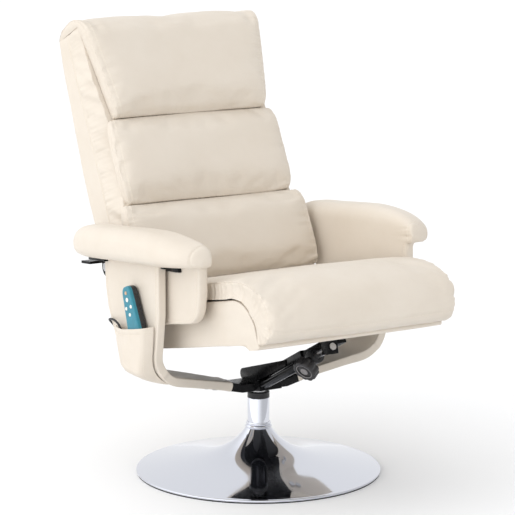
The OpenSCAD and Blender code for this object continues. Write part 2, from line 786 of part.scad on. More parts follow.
board_deep = 5.2;
board_x = handset_wall + board_deep - handset_t / 2;
module handset_board() {
    color("green") on_handset()
        slab_yz(handset_outline(2 * handset_wall + seat_fit), board_x, board_x + board_t);
}

module button(i) {
    b = button_at[i];
    skirt_t = 1;
    inside = handset_wall - handset_t / 2 + slide_gap;
    on_handset() {
        rod_x(-handset_t / 2 - button_up, inside + skirt_t, b[0], b[1], b[2]);
        rod_x(inside, inside + skirt_t, b[0], b[1], b[2] + 2 * button_gap);
        rod_x(inside, board_x - button_travel - slide_gap, b[0], b[1], b[2] / 2);
    }
}
module button_power() color("white") button(0);
module button_mode() color("tan") button(1);
module button_upper() color("white") button(2);
module button_lower() color("white") button(3);
module button_seat() color("white") button(4);

// Grommet where the cord leaves the inner face of the left side frame
grommet_t = 5;
grommet_r = 9;
module cord_grommet() {
    inner = side_x - side_t;
    color(plastic) difference() {
        union() {
            rod_x(-inner - grommet_stem_l, -inner, grommet_y, grommet_z, grommet_stem_r);
            rod_x(-inner, -inner + grommet_t, grommet_y, grommet_z, grommet_r);
        }
        rod_x(-inner - grommet_stem_l - over, -inner + grommet_t + over, grommet_y, grommet_z,
              cord_d / 2 + seat_fit);
    }
}

// Route of the handset's cord, from the grommet round the frame's rear edge to the handset.
// Each point's X is measured from the left side frame's outer face.
cord_route = [[20, 62, 330], [30, 62, 330], [37, 63, 327], [43, 66, 320], [47, 72, 311], [49, 80, 303],
    [50, 91, 297], [50, 104, 294], [49, 117, 295], [46, 129, 300], [41, 139, 309], [34, 145, 321],
    [26, 148, 334], [18, 148, 347], [10, 146, 357], [1, 141, 366], [-5, 129, 372], [-8, 114, 376],
    [-10, 98, 377], [-12, 84, 376], [-13, 71, 371], [-14, 60, 362], [-15, 51, 350], [-15, 42, 336],
    [-15, 33, 322], [-15, 24, 309], [-15, 14, 299], [-15, 2, 292], [-15, -11, 287], [-15, -22, 286],
    [-15, -33, 286], [-15, -40, 288], [-15, -45, 293], [-15, -47, 300], [-15, -46, 305],
    [-15, -42, 314]];
cord_sides = 8;
function unit(v) = v / norm(v);
cord_line = [for (p = cord_route) [p[0] - side_x, p[1], p[2]]];
function cord_dir(i) = unit(cord_line[min(i + 1, len(cord_line) - 1)] - cord_line[max(i - 1, 0)]);
module handset_cord() {
    across = [for (i = [0 : len(cord_line) - 1]) unit(cross(cord_dir(i), [0.3, 0.2, 1]))];
    rings = [for (i = [0 : len(cord_line) - 1]) let (u = across[i], v = cross(cord_dir(i), u))
        [for (k = [0 : cord_sides - 1])
            cord_line[i] + (u * cos(360 * k / cord_sides) + v * sin(360 * k / cord_sides)) * cord_d / 2]];
    color(plastic) loft(rings);
}

// Seat box: a padded shell over a timber frame, with its rounded front under the cushion
seat_wall = 12;
front_from = 300;
front_low = 4;
lip_out = 8;
lip_low = 12;
lip_back = 44;
seat_half = seat_w / 2;
front_n = 9;
seat_front_arc =
    [for (p = arc(-front_from, front_low, seat_front - front_from, seat_h - front_low, 90, 180, front_n)) p];

module seat_base() {
    outline = concat(
        [[seat_rear, 0], [seat_rear, seat_h]], seat_front_arc,
        [[-seat_front, -soft_gap - over], [-seat_front - lip_out / 2, -lip_out],
         [-seat_front + lip_out, -lip_low], [lip_back - seat_front, -lip_low],
         [lip_back + lip_low - seat_front, 0]]);
    color(leather) on_seat() difference() {
        slab_yz(outline, -seat_half, seat_half);
        block([seat_wall - seat_half, -front_from, -over],
              [seat_half - seat_wall, seat_rear - seat_wall, cover_t + rail_h + deck_t]);
        translate([inlet_x, seat_rear - seat_wall - over, inlet_up]) rotate([-90, 0, 0])
            cylinder(h = seat_wall + 2 * over, r = inlet_r + seat_fit);
        for (s = [0, 1]) mirror([s, 0, 0]) for (y = link_screw_y)
            rod_x(link_in - link_screw_l, link_in + over, y, link_z, link_screw_r + seat_fit);
    }
}

rail_h = 50;
frame_rail = 22;
cover_t = 4;
deck_t = 10;
inner_half = seat_half - seat_wall;
inner_rear = seat_rear - seat_wall;
module seat_frame() {
    color("burlywood") on_seat() difference() {
        block([seat_fit - inner_half, seat_fit - front_from, cover_t],
              [inner_half - seat_fit, inner_rear - seat_fit, cover_t + rail_h]);
        block([frame_rail - inner_half, frame_rail - front_from, cover_t - over],
              [inner_half - frame_rail, inner_rear - frame_rail, cover_t + rail_h + over]);
        translate([inlet_x, inner_rear - frame_rail - over, inlet_up]) rotate([-90, 0, 0])
            cylinder(h = frame_rail + 2 * over, r = inlet_r + seat_fit);
    }
}
module seat_deck() {
    color("tan") on_seat()
        block([seat_fit - inner_half, seat_fit - front_from, cover_t + rail_h],
              [inner_half - seat_fit, inner_rear - seat_fit, cover_t + rail_h + deck_t]);
}
module seat_dust_cover() {
    color(plastic) on_seat()
        block([seat_fit - inner_half, seat_fit - front_from, 0],
              [inner_half - seat_fit, inner_rear - seat_fit, cover_t]);
}

motor_r = 30;
motor_h = 20;
seat_motor_x = 105;
seat_motor_y = 190;
module seat_motors() {
    z = cover_t + rail_h - motor_h;
    color("dimgray") pair() on_seat() {
        translate([seat_motor_x, -seat_motor_y, z]) cylinder(h = motor_h, r = motor_r);
        translate([seat_motor_x, -seat_motor_y, z - motor_h / 4])
            cylinder(h = motor_h / 2, r = motor_r / 2);
    }
}
control_l = 150;
control_w = 96;
control_h = 34;
control_y = 30;
module control_box() {
    color(plastic) on_seat() translate([0, control_y, cover_t + rail_h - control_h])
        block([-control_l / 2, -control_w / 2, 0], [control_l / 2, control_w / 2, control_h]);
}

// Power socket in the rear wall of the seat box
inlet_x = 120;
inlet_up = 36;
inlet_r = 9;
inlet_bore = 4;
inlet_l = 20;
inlet_deep = 14;
inlet_lip = 2;
module power_inlet() {
    color(plastic) on_seat()
        translate([inlet_x, seat_rear + inlet_lip, inlet_up]) rotate([90, 0, 0]) difference() {
            union() {
                cylinder(h = inlet_lip, r = inlet_r + inlet_lip);
                cylinder(h = inlet_l, r = inlet_r);
            }
            translate([0, 0, -over]) cylinder(h = inlet_deep + over, r = inlet_bore);
        }
}

// Seat cushion: outer chain from its rear top over the crown and down its nose
cushion_rear = 100;
cushion_over = 2;
cushion_half = seat_half + cushion_over;
nose_mid = 45;
nose_foot = 2;
top_along_share = [0.08, 0.2, 0.4, 0.62, 0.82];
side_draw = 27;
crown_share = [0.25, 0.6, 0.9, 1, 1];
function cushion_ring(x) =
    let (f = fullness(x / cushion_half, 3.2),
         top = seat_h + cushion_t,
         crown = cushion_crown * f,
         tip = seat_front + nose - side_draw * (1 - f),
         low_w = tip - seat_front - lip_out,
         outer = concat(
            [[cushion_rear, seat_h + cushion_t / 3], [cushion_rear - cushion_t / 5, top - cushion_t / 6]],
            [for (i = [0 : len(top_along_share) - 1])
                [mix(cushion_rear, -front_from, top_along_share[i]), top + crown * crown_share[i]]],
            [for (p = arc(-front_from, nose_mid, tip - front_from, top + crown - nose_mid, 90, 180, 8)) p],
            [for (i = [1 : 4]) let (a = 180 + 90 * i / 4)
                [-seat_front - lip_out + low_w * cos(a), nose_mid + (nose_mid + nose_foot) * sin(a)]]),
         flat_n = len(outer) - len(seat_front_arc) - 3,
         inner = concat(
            [for (i = [0 : flat_n - 1]) [mix(cushion_rear, -front_from, i / flat_n), seat_h]],
            seat_front_arc,
            [for (i = [1 : 3]) let (s = i / 4)
                [-seat_front - lip_out * s, mix(front_low, -nose_foot, s * s)]]))
    [for (p = concat(outer, flip(inner))) [x, p[0], p[1]]];
loft_n = 16;
function across_x(half) = [for (i = [0 : loft_n]) -half * cos(180 * i / loft_n)];

module seat_cushion() color(leather) on_seat() loft([for (x = across_x(cushion_half)) cushion_ring(x)]);

// Yoke under the seat front: a plate with a lug for the brake rod
yoke_t = 8;
yoke_front = 330;
yoke_rear = 215;
yoke_left = 40;
yoke_right = 60;
lug_t = 22;
lug_h = 44;
lug_half = 14;
rod_end = 318;
rod_start = 60;
yoke_bolt_in = 14;
link_from = 40;
link_end = 16;
link_z = to_seat(crank)[1];
link_screw_share = [0.25, 0.72];
link_screw_y = [for (s = link_screw_share) mix(link_from, seat_rear, s)];
link_screw_r = 3;
link_screw_l = 10;
module seat_yoke() {
    color(black_steel) difference() {
        union() {
            on_seat() block([-yoke_left, -yoke_front, -yoke_t], [yoke_right, -yoke_rear, 0]);
            on_seat() block([tube_x - lug_half, -yoke_front, -lug_h],
                            [tube_x + lug_half, lug_t - yoke_front, -yoke_t]);
        }
        on_strut() translate([tube_x, -collar_at, 0]) rotate([90, 0, 0])
            cylinder(h = collar_at, r = rod_r + seat_fit);
        for (p = yoke_bolt_places) on_seat() translate([p[0], p[1], -yoke_t - over])
            cylinder(h = yoke_t + 2 * over, r = seat_bolt_r + seat_fit);
    }
}
seat_bolt_r = 4;
yoke_bolt_places = [
    for (x = [yoke_bolt_in - yoke_left, yoke_right - yoke_bolt_in])
        for (y = [yoke_bolt_in - front_from, -yoke_rear - yoke_bolt_in]) [x, y]];

// Bolts of the yoke, and screws of the plates on the sides
module seat_bolts() {
    head_h = seat_bolt_r;
    color("gray") on_seat() for (p = yoke_bolt_places) translate([p[0], p[1], -yoke_t - head_h]) {
        cylinder(h = head_h, r = 1.7 * seat_bolt_r);
        cylinder(h = head_h + yoke_t - soft_gap, r = seat_bolt_r);
    }
    color("gray") pair() on_seat() for (y = link_screw_y) {
        rod_x(link_in + seat_fit - link_screw_l, link_in + link_t, y, link_z, link_screw_r);
        rod_x(link_in + link_t, link_in + link_t + link_screw_r / 2, y, link_z, 1.8 * link_screw_r);
    }
}

module slide_bar() {
    gap = sleeve_wall + slide_gap;
    bar_from = 20;
    bar_to = 310;
    color("#3a3a3d") difference() {
        on_strut() translate([sleeve_x, 0, sleeve_lift])
            block([gap - sleeve_w / 2, -bar_to, gap - sleeve_h / 2],
                  [sleeve_w / 2 - gap, -bar_from, sleeve_h / 2 - gap]);
        on_seat() block([-seat_half, -seat_front, -yoke_t], [seat_half, 0, seat_h]);
        on_seat() block([-seat_half, -seat_front, -seat_h], [seat_half, -yoke_front, seat_h]);
    }
}

module brake_rod() {
    color("silver") on_strut() translate([tube_x, -rod_start, 0]) rotate([90, 0, 0])
        cylinder(h = rod_end - rod_start, r = rod_r);
}

// Plates on the sides of the seat box, each slotted for the pin that drives the seat
slot_slack = 0.3;
slot_run = 3.2;
link_low = 2;
module seat_link_plates() {
    c = to_seat(crank);
    slot_tilt = slide_slope - seat_tilt;
    color(black_steel) pair() on_seat() difference() {
        union() {
            block([link_in, link_from, c[1] - link_end], [link_in + link_t, c[0], seat_h - link_low]);
            rod_x(link_in, link_in + link_t, c[0], c[1], link_end);
        }
        for (y = link_screw_y)
            rod_x(link_in - over, link_in + link_t + over, y, link_z, link_screw_r + seat_fit);
        translate([0, c[0], c[1]]) rotate([-slot_tilt, 0, 0]) {
            rod_x(link_in - over, link_in + link_t + over, 0, 0, pin_r + slot_slack);
            rod_x(link_in - over, link_in + link_t + over, 0, -slot_run, pin_r + slot_slack);
            block([link_in - over, -pin_r - slot_slack, -slot_run],
                  [link_in + link_t + over, pin_r + slot_slack, 0]);
        }
    }
}

// Back shell: the padded rear half, hollow for the frame
rear_up_share = [0, 0.15, 0.4, 0.52, 0.67, 0.8, 0.9, 1];
rear_deep_share = [0.84, 0.92, 1, 0.98, 0.88, 0.78, 0.76, 0.62];
function rear_chain(inset) = [for (i = [0 : len(rear_up_share) - 1])
    [core_t + shell_t * rear_deep_share[i] - inset, mix(inset, back_h - inset, rear_up_share[i])]];

module back_shell() {
    color(leather) on_back() difference() {
        slab_yz(concat([[core_t, 0]], rear_chain(0), [[core_t, back_h]]), -back_half, back_half);
        slab_yz(concat([[core_t - over, shell_wall]], rear_chain(shell_wall),
                       [[core_t - over, back_h - shell_wall]]),
                shell_wall - back_half, back_half - shell_wall);
        rod_x(-back_half - over, back_half + over, pivot_in, pivot_up, pivot_r + over);
        for (p = hinge_bolt_places)
            rod_x(-back_half - over, back_half + over, p[0], p[1], hinge_bolt_r + seat_fit);
    }
}
hinge_bolt_r = 4;
hinge_bolt_up = 34;
hinge_bolt_pitch = 30;
hinge_bolt_places = [for (i = [0, 1]) [pivot_in, pivot_up + hinge_bolt_up + i * hinge_bolt_pitch]];

back_motor_x = 95;
back_motor_share = [0.2, 0.49, 0.81];
back_motor_z = back_h * back_motor_share;
motor_cup = 1;
module back_core() {
    depth = motor_h + motor_cup;
    color("#e6dac6") on_back() difference() {
        slab_yz([[0, 0], [core_t, 0], [core_t, back_h], [0, back_h]], -back_half, back_half);
        for (z = back_motor_z) for (x = [-back_motor_x, back_motor_x])
            translate([x, core_t + over, z]) rotate([90, 0, 0])
                cylinder(h = depth + over, r = motor_r + motor_cup / 2);
    }
}
module back_motors() {
    color("dimgray") pair() on_back() for (z = back_motor_z)
        translate([back_motor_x, core_t, z]) rotate([90, 0, 0]) {
            cylinder(h = motor_h, r = motor_r);
            translate([0, 0, -motor_h / 4]) cylinder(h = motor_h / 2, r = motor_r / 2);
        }
}

frame_near = 50;
frame_deep = 24;
frame_low = 16;
frame_high = 30;
module back_frame() {
    half = frame_in + frame_t;
    hole_in = frame_in + frame_t / 4 - over;
    color(black_steel) on_back() difference() {
        block([-half, frame_near, frame_low], [half, frame_near + frame_deep, back_h - frame_high]);
        block([-frame_in, frame_near - over, frame_low + frame_t],
              [frame_in, frame_near + frame_deep + over, back_h / 2 - frame_t / 2]);
        block([-frame_in, frame_near - over, back_h / 2 + frame_t / 2],
              [frame_in, frame_near + frame_deep + over, back_h - frame_high - frame_t]);
        for (s = [0, 1]) mirror([s, 0, 0]) {
            rod_x(hole_in, half + over, pivot_in, pivot_up, pivot_r + run_fit);
            for (p = hinge_bolt_places) rod_x(hole_in, half + over, p[0], p[1], hinge_bolt_r + seat_fit);
        }
    }
}

// Plates that carry the back on its pivots, with their bolts
module back_hinge_plates() {
    up = hinge_bolt_places[1][1] + hinge_r;
    c = [(crank[0] - back_y) * cos(back_lean) - (crank[1] - back_z) * sin(back_lean),
         (crank[0] - back_y) * sin(back_lean) + (crank[1] - back_z) * cos(back_lean)];
    lean = atan2(pivot_in - c[0], pivot_up - c[1]);
    side = [hinge_r * cos(lean), -hinge_r * sin(lean)];
    p = [pivot_in, pivot_up];
    color(black_steel) pair() on_back() difference() {
        union() {
            block([hinge_in, pivot_in - hinge_r, pivot_up], [hinge_in + hinge_t, pivot_in + hinge_r, up]);
            slab_yz([p + side, c + side, c - side, p - side], hinge_in, hinge_in + hinge_t);
            rod_x(hinge_in, hinge_in + hinge_t, c[0], c[1], hinge_r);
            rod_x(hinge_in, hinge_in + hinge_t, p[0], p[1], hinge_r);
            for (q = hinge_bolt_places) rod_x(frame_in + frame_t / 4, hinge_in, q[0], q[1], hinge_bolt_r);
            for (q = hinge_bolt_places)
                rod_x(hinge_in + hinge_t, hinge_in + hinge_t + hinge_bolt_r, q[0], q[1],
                      1.7 * hinge_bolt_r);
        }
        rod_x(hinge_in - over, hinge_in + hinge_t + over, p[0], p[1], pivot_r + run_fit);
        rod_x(hinge_in - over, hinge_in + hinge_t + over, c[0], c[1], pin_r + seat_fit);
    }
}

pin_proud = 4;
pin_in = link_in - pin_proud;
pin_head = 3;
module link_pins() {
    color("gray") pair() {
        rod_x(pin_in, hinge_in + hinge_t, crank[0], crank[1], pin_r);
        rod_x(hinge_in + hinge_t, hinge_in + hinge_t + pin_head, crank[0], crank[1], 1.7 * pin_r);
    }
}

// Back pillows: rings across the back, crowned in the middle and drawn in at the ends
pillow_seam = 4;
pillow_draw = 7;
pillow_n = 12;
plump_share = 0.62;
function pillow_ring(x, half, z0, z1, crown, edge) =
    let (f = mix(edge, 1, fullness(x / half, 4)),
         zc = (z0 + z1) / 2,
         hz = (z1 - z0) / 2 - pillow_draw * (1 - f),
         rise = (crown - pillow_seam) * f,
         angles = [for (i = [0 : pillow_n]) 180 * i / pillow_n],
         zs = [for (a = angles) zc - hz * power(cos(a), plump_share)])
    concat(
        [for (i = [0 : pillow_n]) [x, -pillow_seam - rise * pow(sin(angles[i]), plump_share), zs[i]]],
        [for (i = [pillow_n : -1 : 0]) [x, 0, zs[i]]]);
pillow_gap = 0.6;
low_edge = 0.62;
mid_edge = 0.3;
low_start = 2;
module lower_pillow() {
    color(leather) on_back()
        loft_back([for (x = across_x(low_w / 2))
            pillow_ring(x, low_w / 2, low_start, seam_low, low_crown, low_edge)]);
}
module middle_pillow() {
    color(leather) on_back()
        loft_back([for (x = across_x(mid_w / 2))
            pillow_ring(x, mid_w / 2, seam_low + pillow_gap, seam_high, mid_crown, mid_edge)]);
}

// Head pillow: its front swells from the seam and wraps over the top of the back
wrap_rise = 37;
wrap_drop = 25;
wrap_rear_share = 0.62;
head_edge = 0.6;
chin_share = 0.4;
chin_wide_share = 0.84;
brow_share = 0.7;
function head_ring(x) =
    let (f = mix(head_edge, 1, fullness(2 * x / head_w, 4)),
         z0 = seam_high + pillow_gap,
         p = pillow_seam + (head_crown - pillow_seam) * f,
         rear = core_t + shell_t * wrap_rear_share,
         zc = back_h - wrap_drop,
         top = (wrap_rise + wrap_drop) * mix(0.86, 1, f),
         yc = (rear - p) / 2,
         ry = (rear + p) / 2,
         stop = asin((wrap_drop + soft_gap) / top),
         outer = concat(
            [[-pillow_seam, z0]],
            [for (i = [1 : 5]) let (a = 90 * i / 5)
                [-mix(pillow_seam, p, pow(sin(a), plump_share)),
                 mix(z0, zc, chin_share * (1 - pow(cos(a), plump_share)))]],
            [[-p, mix(z0, zc, brow_share)]],
            [for (q = arc(yc, zc, ry, top, 180, stop, 10)) q]),
         n = len(outer),
         flat_n = 8,
         inner = concat(
            [for (i = [0 : flat_n - 1]) [0, mix(z0, back_h + soft_gap, i / flat_n)]],
            [for (i = [0 : n - flat_n - 1])
                [mix(0, outer[n - 1][0] - pillow_seam, i / (n - flat_n - 1)), back_h + soft_gap]]))
    [for (q = concat(outer, flip(inner)))
        [x * mix(chin_wide_share, 1, (q[1] - z0) / (back_h + wrap_rise - z0)), q[0], q[1]]];
module head_pillow() color(leather) on_back() loft_back([for (x = across_x(head_w / 2)) head_ring(x)]);

// Clamp knob: scalloped rim, dished face, on a screw into the brake collar
lobe_n = 10;
lobe_r = 5;
lobe_deep = 2.6;
dish_deep = 3;
screw_in = 9;
module clamp_knob() {
    knob_r = knob_d / 2;
    color(plastic) on_knob() difference() {
        translate([0, 0, knob_in]) cylinder(h = knob_out - knob_in, r = knob_r);
        translate([0, 0, knob_out - dish_deep]) cylinder(h = dish_deep + over, r = knob_r * 0.68);
        translate([0, 0, knob_in - over])
            cylinder(h = (knob_out - knob_in) / 2 + over, r = screw_r + seat_fit);
        for (i = [0 : lobe_n - 1]) rotate([0, 0, 360 * i / lobe_n])
            translate([knob_r + lobe_r - lobe_deep, 0, knob_in - over])
                cylinder(h = knob_out - knob_in + 2 * over, r = lobe_r);
    }
}
module clamp_screw() {
    color("silver") on_knob() translate([0, 0, screw_in])
        cylinder(h = knob_in + (knob_out - knob_in) / 2 - screw_in - seat_fit, r = screw_r);
}

floor_pad();
foot_dish();
foot_ballast();
foot_collar();
column_tube();
tie_bolt();
column_cap();
lower_bush();
spindle();
spindle_nut();
crossbar();
slide_sleeve();
brake_tube();
brake_collar();
left_side_frame();
right_side_frame();
frame_fasteners();
arm_rails();
left_arm_roll();
right_arm_roll();
left_arm_apron();
right_arm_apron();
pivot_brackets();
pivot_bolts();
handset_pocket();
cord_grommet();
handset_cord();
seat_base();
seat_frame();
seat_deck();
seat_dust_cover();
control_box();
seat_motors();
seat_cushion();
seat_yoke();
slide_bar();
brake_rod();
seat_link_plates();
seat_bolts();
power_inlet();
back_shell();
back_core();
back_frame();
back_motors();
lower_pillow();
middle_pillow();
head_pillow();
back_hinge_plates();
link_pins();
clamp_knob();
clamp_screw();
handset_back();
handset_face();
handset_board();
button_power();
button_mode();
button_upper();
button_lower();
button_seat();
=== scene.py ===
"""Looks of a swivel recliner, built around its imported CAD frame.

Shapes are worked out in millimetres in the frame of the arm, seat, back or handset that carries
them, and become metres in the shared frame when their mesh is made.
"""
import json
import math

import bmesh
import bpy
import numpy as np
from mathutils import Matrix, Vector
from mathutils.bvhtree import BVHTree
from mathutils.kdtree import KDTree


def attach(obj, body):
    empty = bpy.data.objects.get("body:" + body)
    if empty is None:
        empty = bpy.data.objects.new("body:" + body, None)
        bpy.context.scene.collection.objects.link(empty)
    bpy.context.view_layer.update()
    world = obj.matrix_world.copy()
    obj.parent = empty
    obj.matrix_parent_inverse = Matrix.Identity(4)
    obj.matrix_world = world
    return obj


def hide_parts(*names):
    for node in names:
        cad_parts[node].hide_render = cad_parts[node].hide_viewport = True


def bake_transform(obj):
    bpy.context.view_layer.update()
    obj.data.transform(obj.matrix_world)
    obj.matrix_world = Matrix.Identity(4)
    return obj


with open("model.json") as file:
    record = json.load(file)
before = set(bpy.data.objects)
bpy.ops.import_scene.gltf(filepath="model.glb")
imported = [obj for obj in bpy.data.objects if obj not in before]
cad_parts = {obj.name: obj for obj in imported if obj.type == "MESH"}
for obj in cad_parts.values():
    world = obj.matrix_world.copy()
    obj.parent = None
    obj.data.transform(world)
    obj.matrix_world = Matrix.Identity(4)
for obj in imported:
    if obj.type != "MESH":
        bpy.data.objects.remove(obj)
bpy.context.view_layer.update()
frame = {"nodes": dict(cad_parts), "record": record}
nodes = frame["nodes"]
MM = 0.001
PICTURE_PX, FOCAL_PX = 515, 2600
CAMERA_AT = (-3.0559, -4.8905, 1.5993)
CAMERA_AHEAD = Vector((0.5202, 0.8332, -0.1879)).normalized()
CLOTH_FRAMES = 20
FOLD_WAVE, FOLD_PATCH, FOLD_START, SEAM_STEP = 0.011, 0.045, 0.003, 0.0015
STITCH_PITCH, STITCH_R = 0.0065, 0.00045


# Frames
def tilted(x, y, z, degrees):
    """A frame at (x, y, z) in millimetres, turned about X."""
    return Matrix.Translation((x, y, z)) @ Matrix.Rotation(math.radians(degrees), 4, "X")


WORLD = Matrix.Identity(4)
MIRROR = Matrix.Scale(-1, 4, (1, 0, 0))
ARM = tilted(0, 0, 516, -5.5)
SEAT = tilted(0, 0, 314, -12)
BACK = tilted(0, 135, 430, -26)
STRUT = tilted(0, -48, 212, -27)
KNOB = STRUT @ Matrix.Translation((-17, -236, 0)) @ Matrix.Rotation(math.radians(-130), 4, "Y")
HANDSET = tilted(-325, -42, 314, -22)


def placed(points, matrix):
    """Points in millimetres of a frame, as metres in the shared frame."""
    m = np.array(matrix, float)
    return (np.asarray(points, float) @ m[:3, :3].T + m[:3, 3]) * MM


# Camera
def linked(name, data):
    """A new object of the scene that shows this data."""
    obj = bpy.data.objects.new(name, data)
    bpy.context.scene.collection.objects.link(obj)
    return obj


def make_camera():
    data = bpy.data.cameras.new("camera")
    data.sensor_width = 36
    data.lens = data.sensor_width * FOCAL_PX / PICTURE_PX
    data.clip_end = 100
    camera = linked("camera", data)
    right = CAMERA_AHEAD.cross(Vector((0, 0, 1))).normalized()
    turn = Matrix((right, right.cross(CAMERA_AHEAD), -CAMERA_AHEAD)).transposed().to_4x4()
    camera.matrix_world = Matrix.Translation(CAMERA_AT) @ turn
    bpy.context.scene.camera = camera


make_camera()


# Small shape helpers
def mix(a, b, t):
    return a + (b - a) * t


def fullness(u, e):
    """1 in the middle of a soft form, falling to 0 at its ends u = -1 and 1."""
    return np.maximum(0, 1 - np.minimum(1, np.abs(u)) ** e) ** (1 / e)


def powered(v, e):
    """A power of the size of v, with the sign of v."""
    return np.sign(v) * np.abs(v) ** e


def grown(start, u, e):
    """start where fullness is 0, and 1 where it is 1."""
    return mix(start, 1, float(fullness(u, e)))


def arc(cx, cy, rx, ry, start, end, n):
    a = np.radians(np.linspace(start, end, n + 1))
    return np.column_stack([cx + rx * np.cos(a), cy + ry * np.sin(a)])


def along(points):
    """Length from the start at each point of a line."""
    return np.r_[0, np.cumsum(np.linalg.norm(np.diff(points, axis=0), axis=1))]


def resample(chain, n):
    """n points evenly along a chain."""
    chain = np.asarray(chain, float)
    step = along(chain)
    s = np.linspace(0, step[-1], n)
    return np.column_stack([np.interp(s, step, chain[:, i]) for i in range(chain.shape[1])])


def across(half, n):
    """Places from -half to half, closer together towards the ends."""
    return -half * np.cos(np.pi * np.arange(n) / (n - 1))


def at_x(x, chain):
    """A line of (y, z) points as a section at x."""
    return np.column_stack([np.full(len(chain), x), chain])


def circle(axis, u, n):
    """n unit vectors round an axis, the first along u."""
    u = u / np.linalg.norm(u)
    turn = 2 * np.pi * np.arange(n) / n
    return np.cos(turn)[:, None] * u + np.sin(turn)[:, None] * np.cross(axis, u)


def evened(row, rounds):
    """Smooths a row of numbers between its two ends, in place."""
    for _ in range(rounds):
        row[1:-1] = (row[:-2] + 2 * row[1:-1] + row[2:]) / 4


def value_noise(p, seed):
    """Smooth noise from -1 to 1 at points p, one cell per unit."""
    base = np.floor(p).astype(np.int64)
    f = p - base
    f = f * f * (3 - 2 * f)
    total = np.zeros(len(p))
    for step in np.ndindex(2, 2, 2):
        n = ((base + step) @ (374761393, 668265263, 2147483629) + seed * 1274126177) & 0xFFFFFFFF
        n = ((n ^ (n >> 13)) * 1274126177) & 0xFFFFFFFF
        n = (n ^ (n >> 16)) & 0xFFFF
        total += np.where(step, f, 1 - f).prod(1) * (n / 32767.5 - 1)
    return total


def folds(s, seed):
    """Gathers along a seam at the lengths s: uneven ridges, strong in some places."""
    rng = np.random.default_rng(seed)
    total = np.zeros(len(s))
    for wave in (FOLD_WAVE, 1.6 * FOLD_WAVE, 2.7 * FOLD_WAVE):
        phase, wander, share = rng.uniform(0, 6.28), rng.uniform(0, 6.28), rng.uniform(0.6, 1)
        total += share * np.sin(6.283 * s / wave + phase + 1.4 * np.sin(6.283 * s / (4 * wave) + wander))
    return total / 2 * (0.6 + 0.5 * value_noise(np.outer(s / FOLD_PATCH, (1, 0, 0)), seed + 7))


# Mesh helpers
def new_object(name, verts, faces):
    mesh = bpy.data.meshes.new(name)
    mesh.from_pydata([tuple(v) for v in verts], [], [tuple(f) for f in faces])
    bm = bmesh.new()
    bm.from_mesh(mesh)
    bmesh.ops.recalc_face_normals(bm, faces=bm.faces)
    bm.to_mesh(mesh)
    bm.free()
    return linked(name, mesh)


def ring_faces(rings, n, start=0):
    """Faces between rings of n points each."""
    faces = []
    for i in range(rings - 1):
        for q in range(n):
            a, b = start + i * n + q, start + i * n + (q + 1) % n
            faces.append((a, b, b + n, a + n))
    return faces


def loft_faces(rings, n, start=0):
    """Faces between rings of n points each, and one face across each end."""
    ends = [tuple(range(start + i * n, start + (i + 1) * n)) for i in (0, rings - 1)]
    return ring_faces(rings, n, start) + ends


def read(obj, what):
    values = np.empty(len(obj.data.vertices) * 3)
    obj.data.vertices.foreach_get(what, values)
    return values.reshape(-1, 3)


def coords(obj):
    return read(obj, "co")


def set_coords(obj, co):
    obj.data.vertices.foreach_set("co", np.ascontiguousarray(co, float).ravel())
    obj.data.update()


def smooth_shaded(obj, angle):
    mesh = obj.data
    mesh.polygons.foreach_set("use_smooth", [True] * len(mesh.polygons))
    if angle:
        mesh.set_sharp_from_angle(angle=math.radians(angle))
    mesh.update()


def applied(obj):
    """Puts the result of the object's modifiers into its mesh."""
    graph = bpy.context.evaluated_depsgraph_get()
    graph.update()
    mesh = bpy.data.meshes.new_from_object(obj.evaluated_get(graph))
    obj.modifiers.clear()
    obj.data = mesh


def subdivided(obj):
    obj.modifiers.new("Subdivision", "SUBSURF").levels = 1
    applied(obj)


def bevelled(obj, width):
    """Breaks the sharp edges of a hard part and smooths its curves."""
    bevel = obj.modifiers.new("Bevel", "BEVEL")
    bevel.width = width
    bevel.segments = 2
    bevel.limit_method = "ANGLE"
    bevel.angle_limit = math.radians(32)
    applied(obj)
    smooth_shaded(obj, 34)


def relaxed(obj, rounds, held=None, pull=0.5):
    """Rounds a mesh by moving each point towards the middle of its neighbours."""
    co = coords(obj)
    edges = np.empty(len(obj.data.edges) * 2, np.int64)
    obj.data.edges.foreach_get("vertices", edges)
    a, b = edges.reshape(-1, 2).T
    count = np.bincount(np.r_[a, b], minlength=len(co))[:, None]
    free = np.ones(len(co), bool) if held is None else ~held
    for _ in range(rounds):
        total = np.zeros_like(co)
        for axis in range(3):
            total[:, axis] = np.bincount(np.r_[a, b], np.r_[co[b, axis], co[a, axis]], len(co))
        co[free] += pull * (total / count - co)[free]
    set_coords(obj, co)


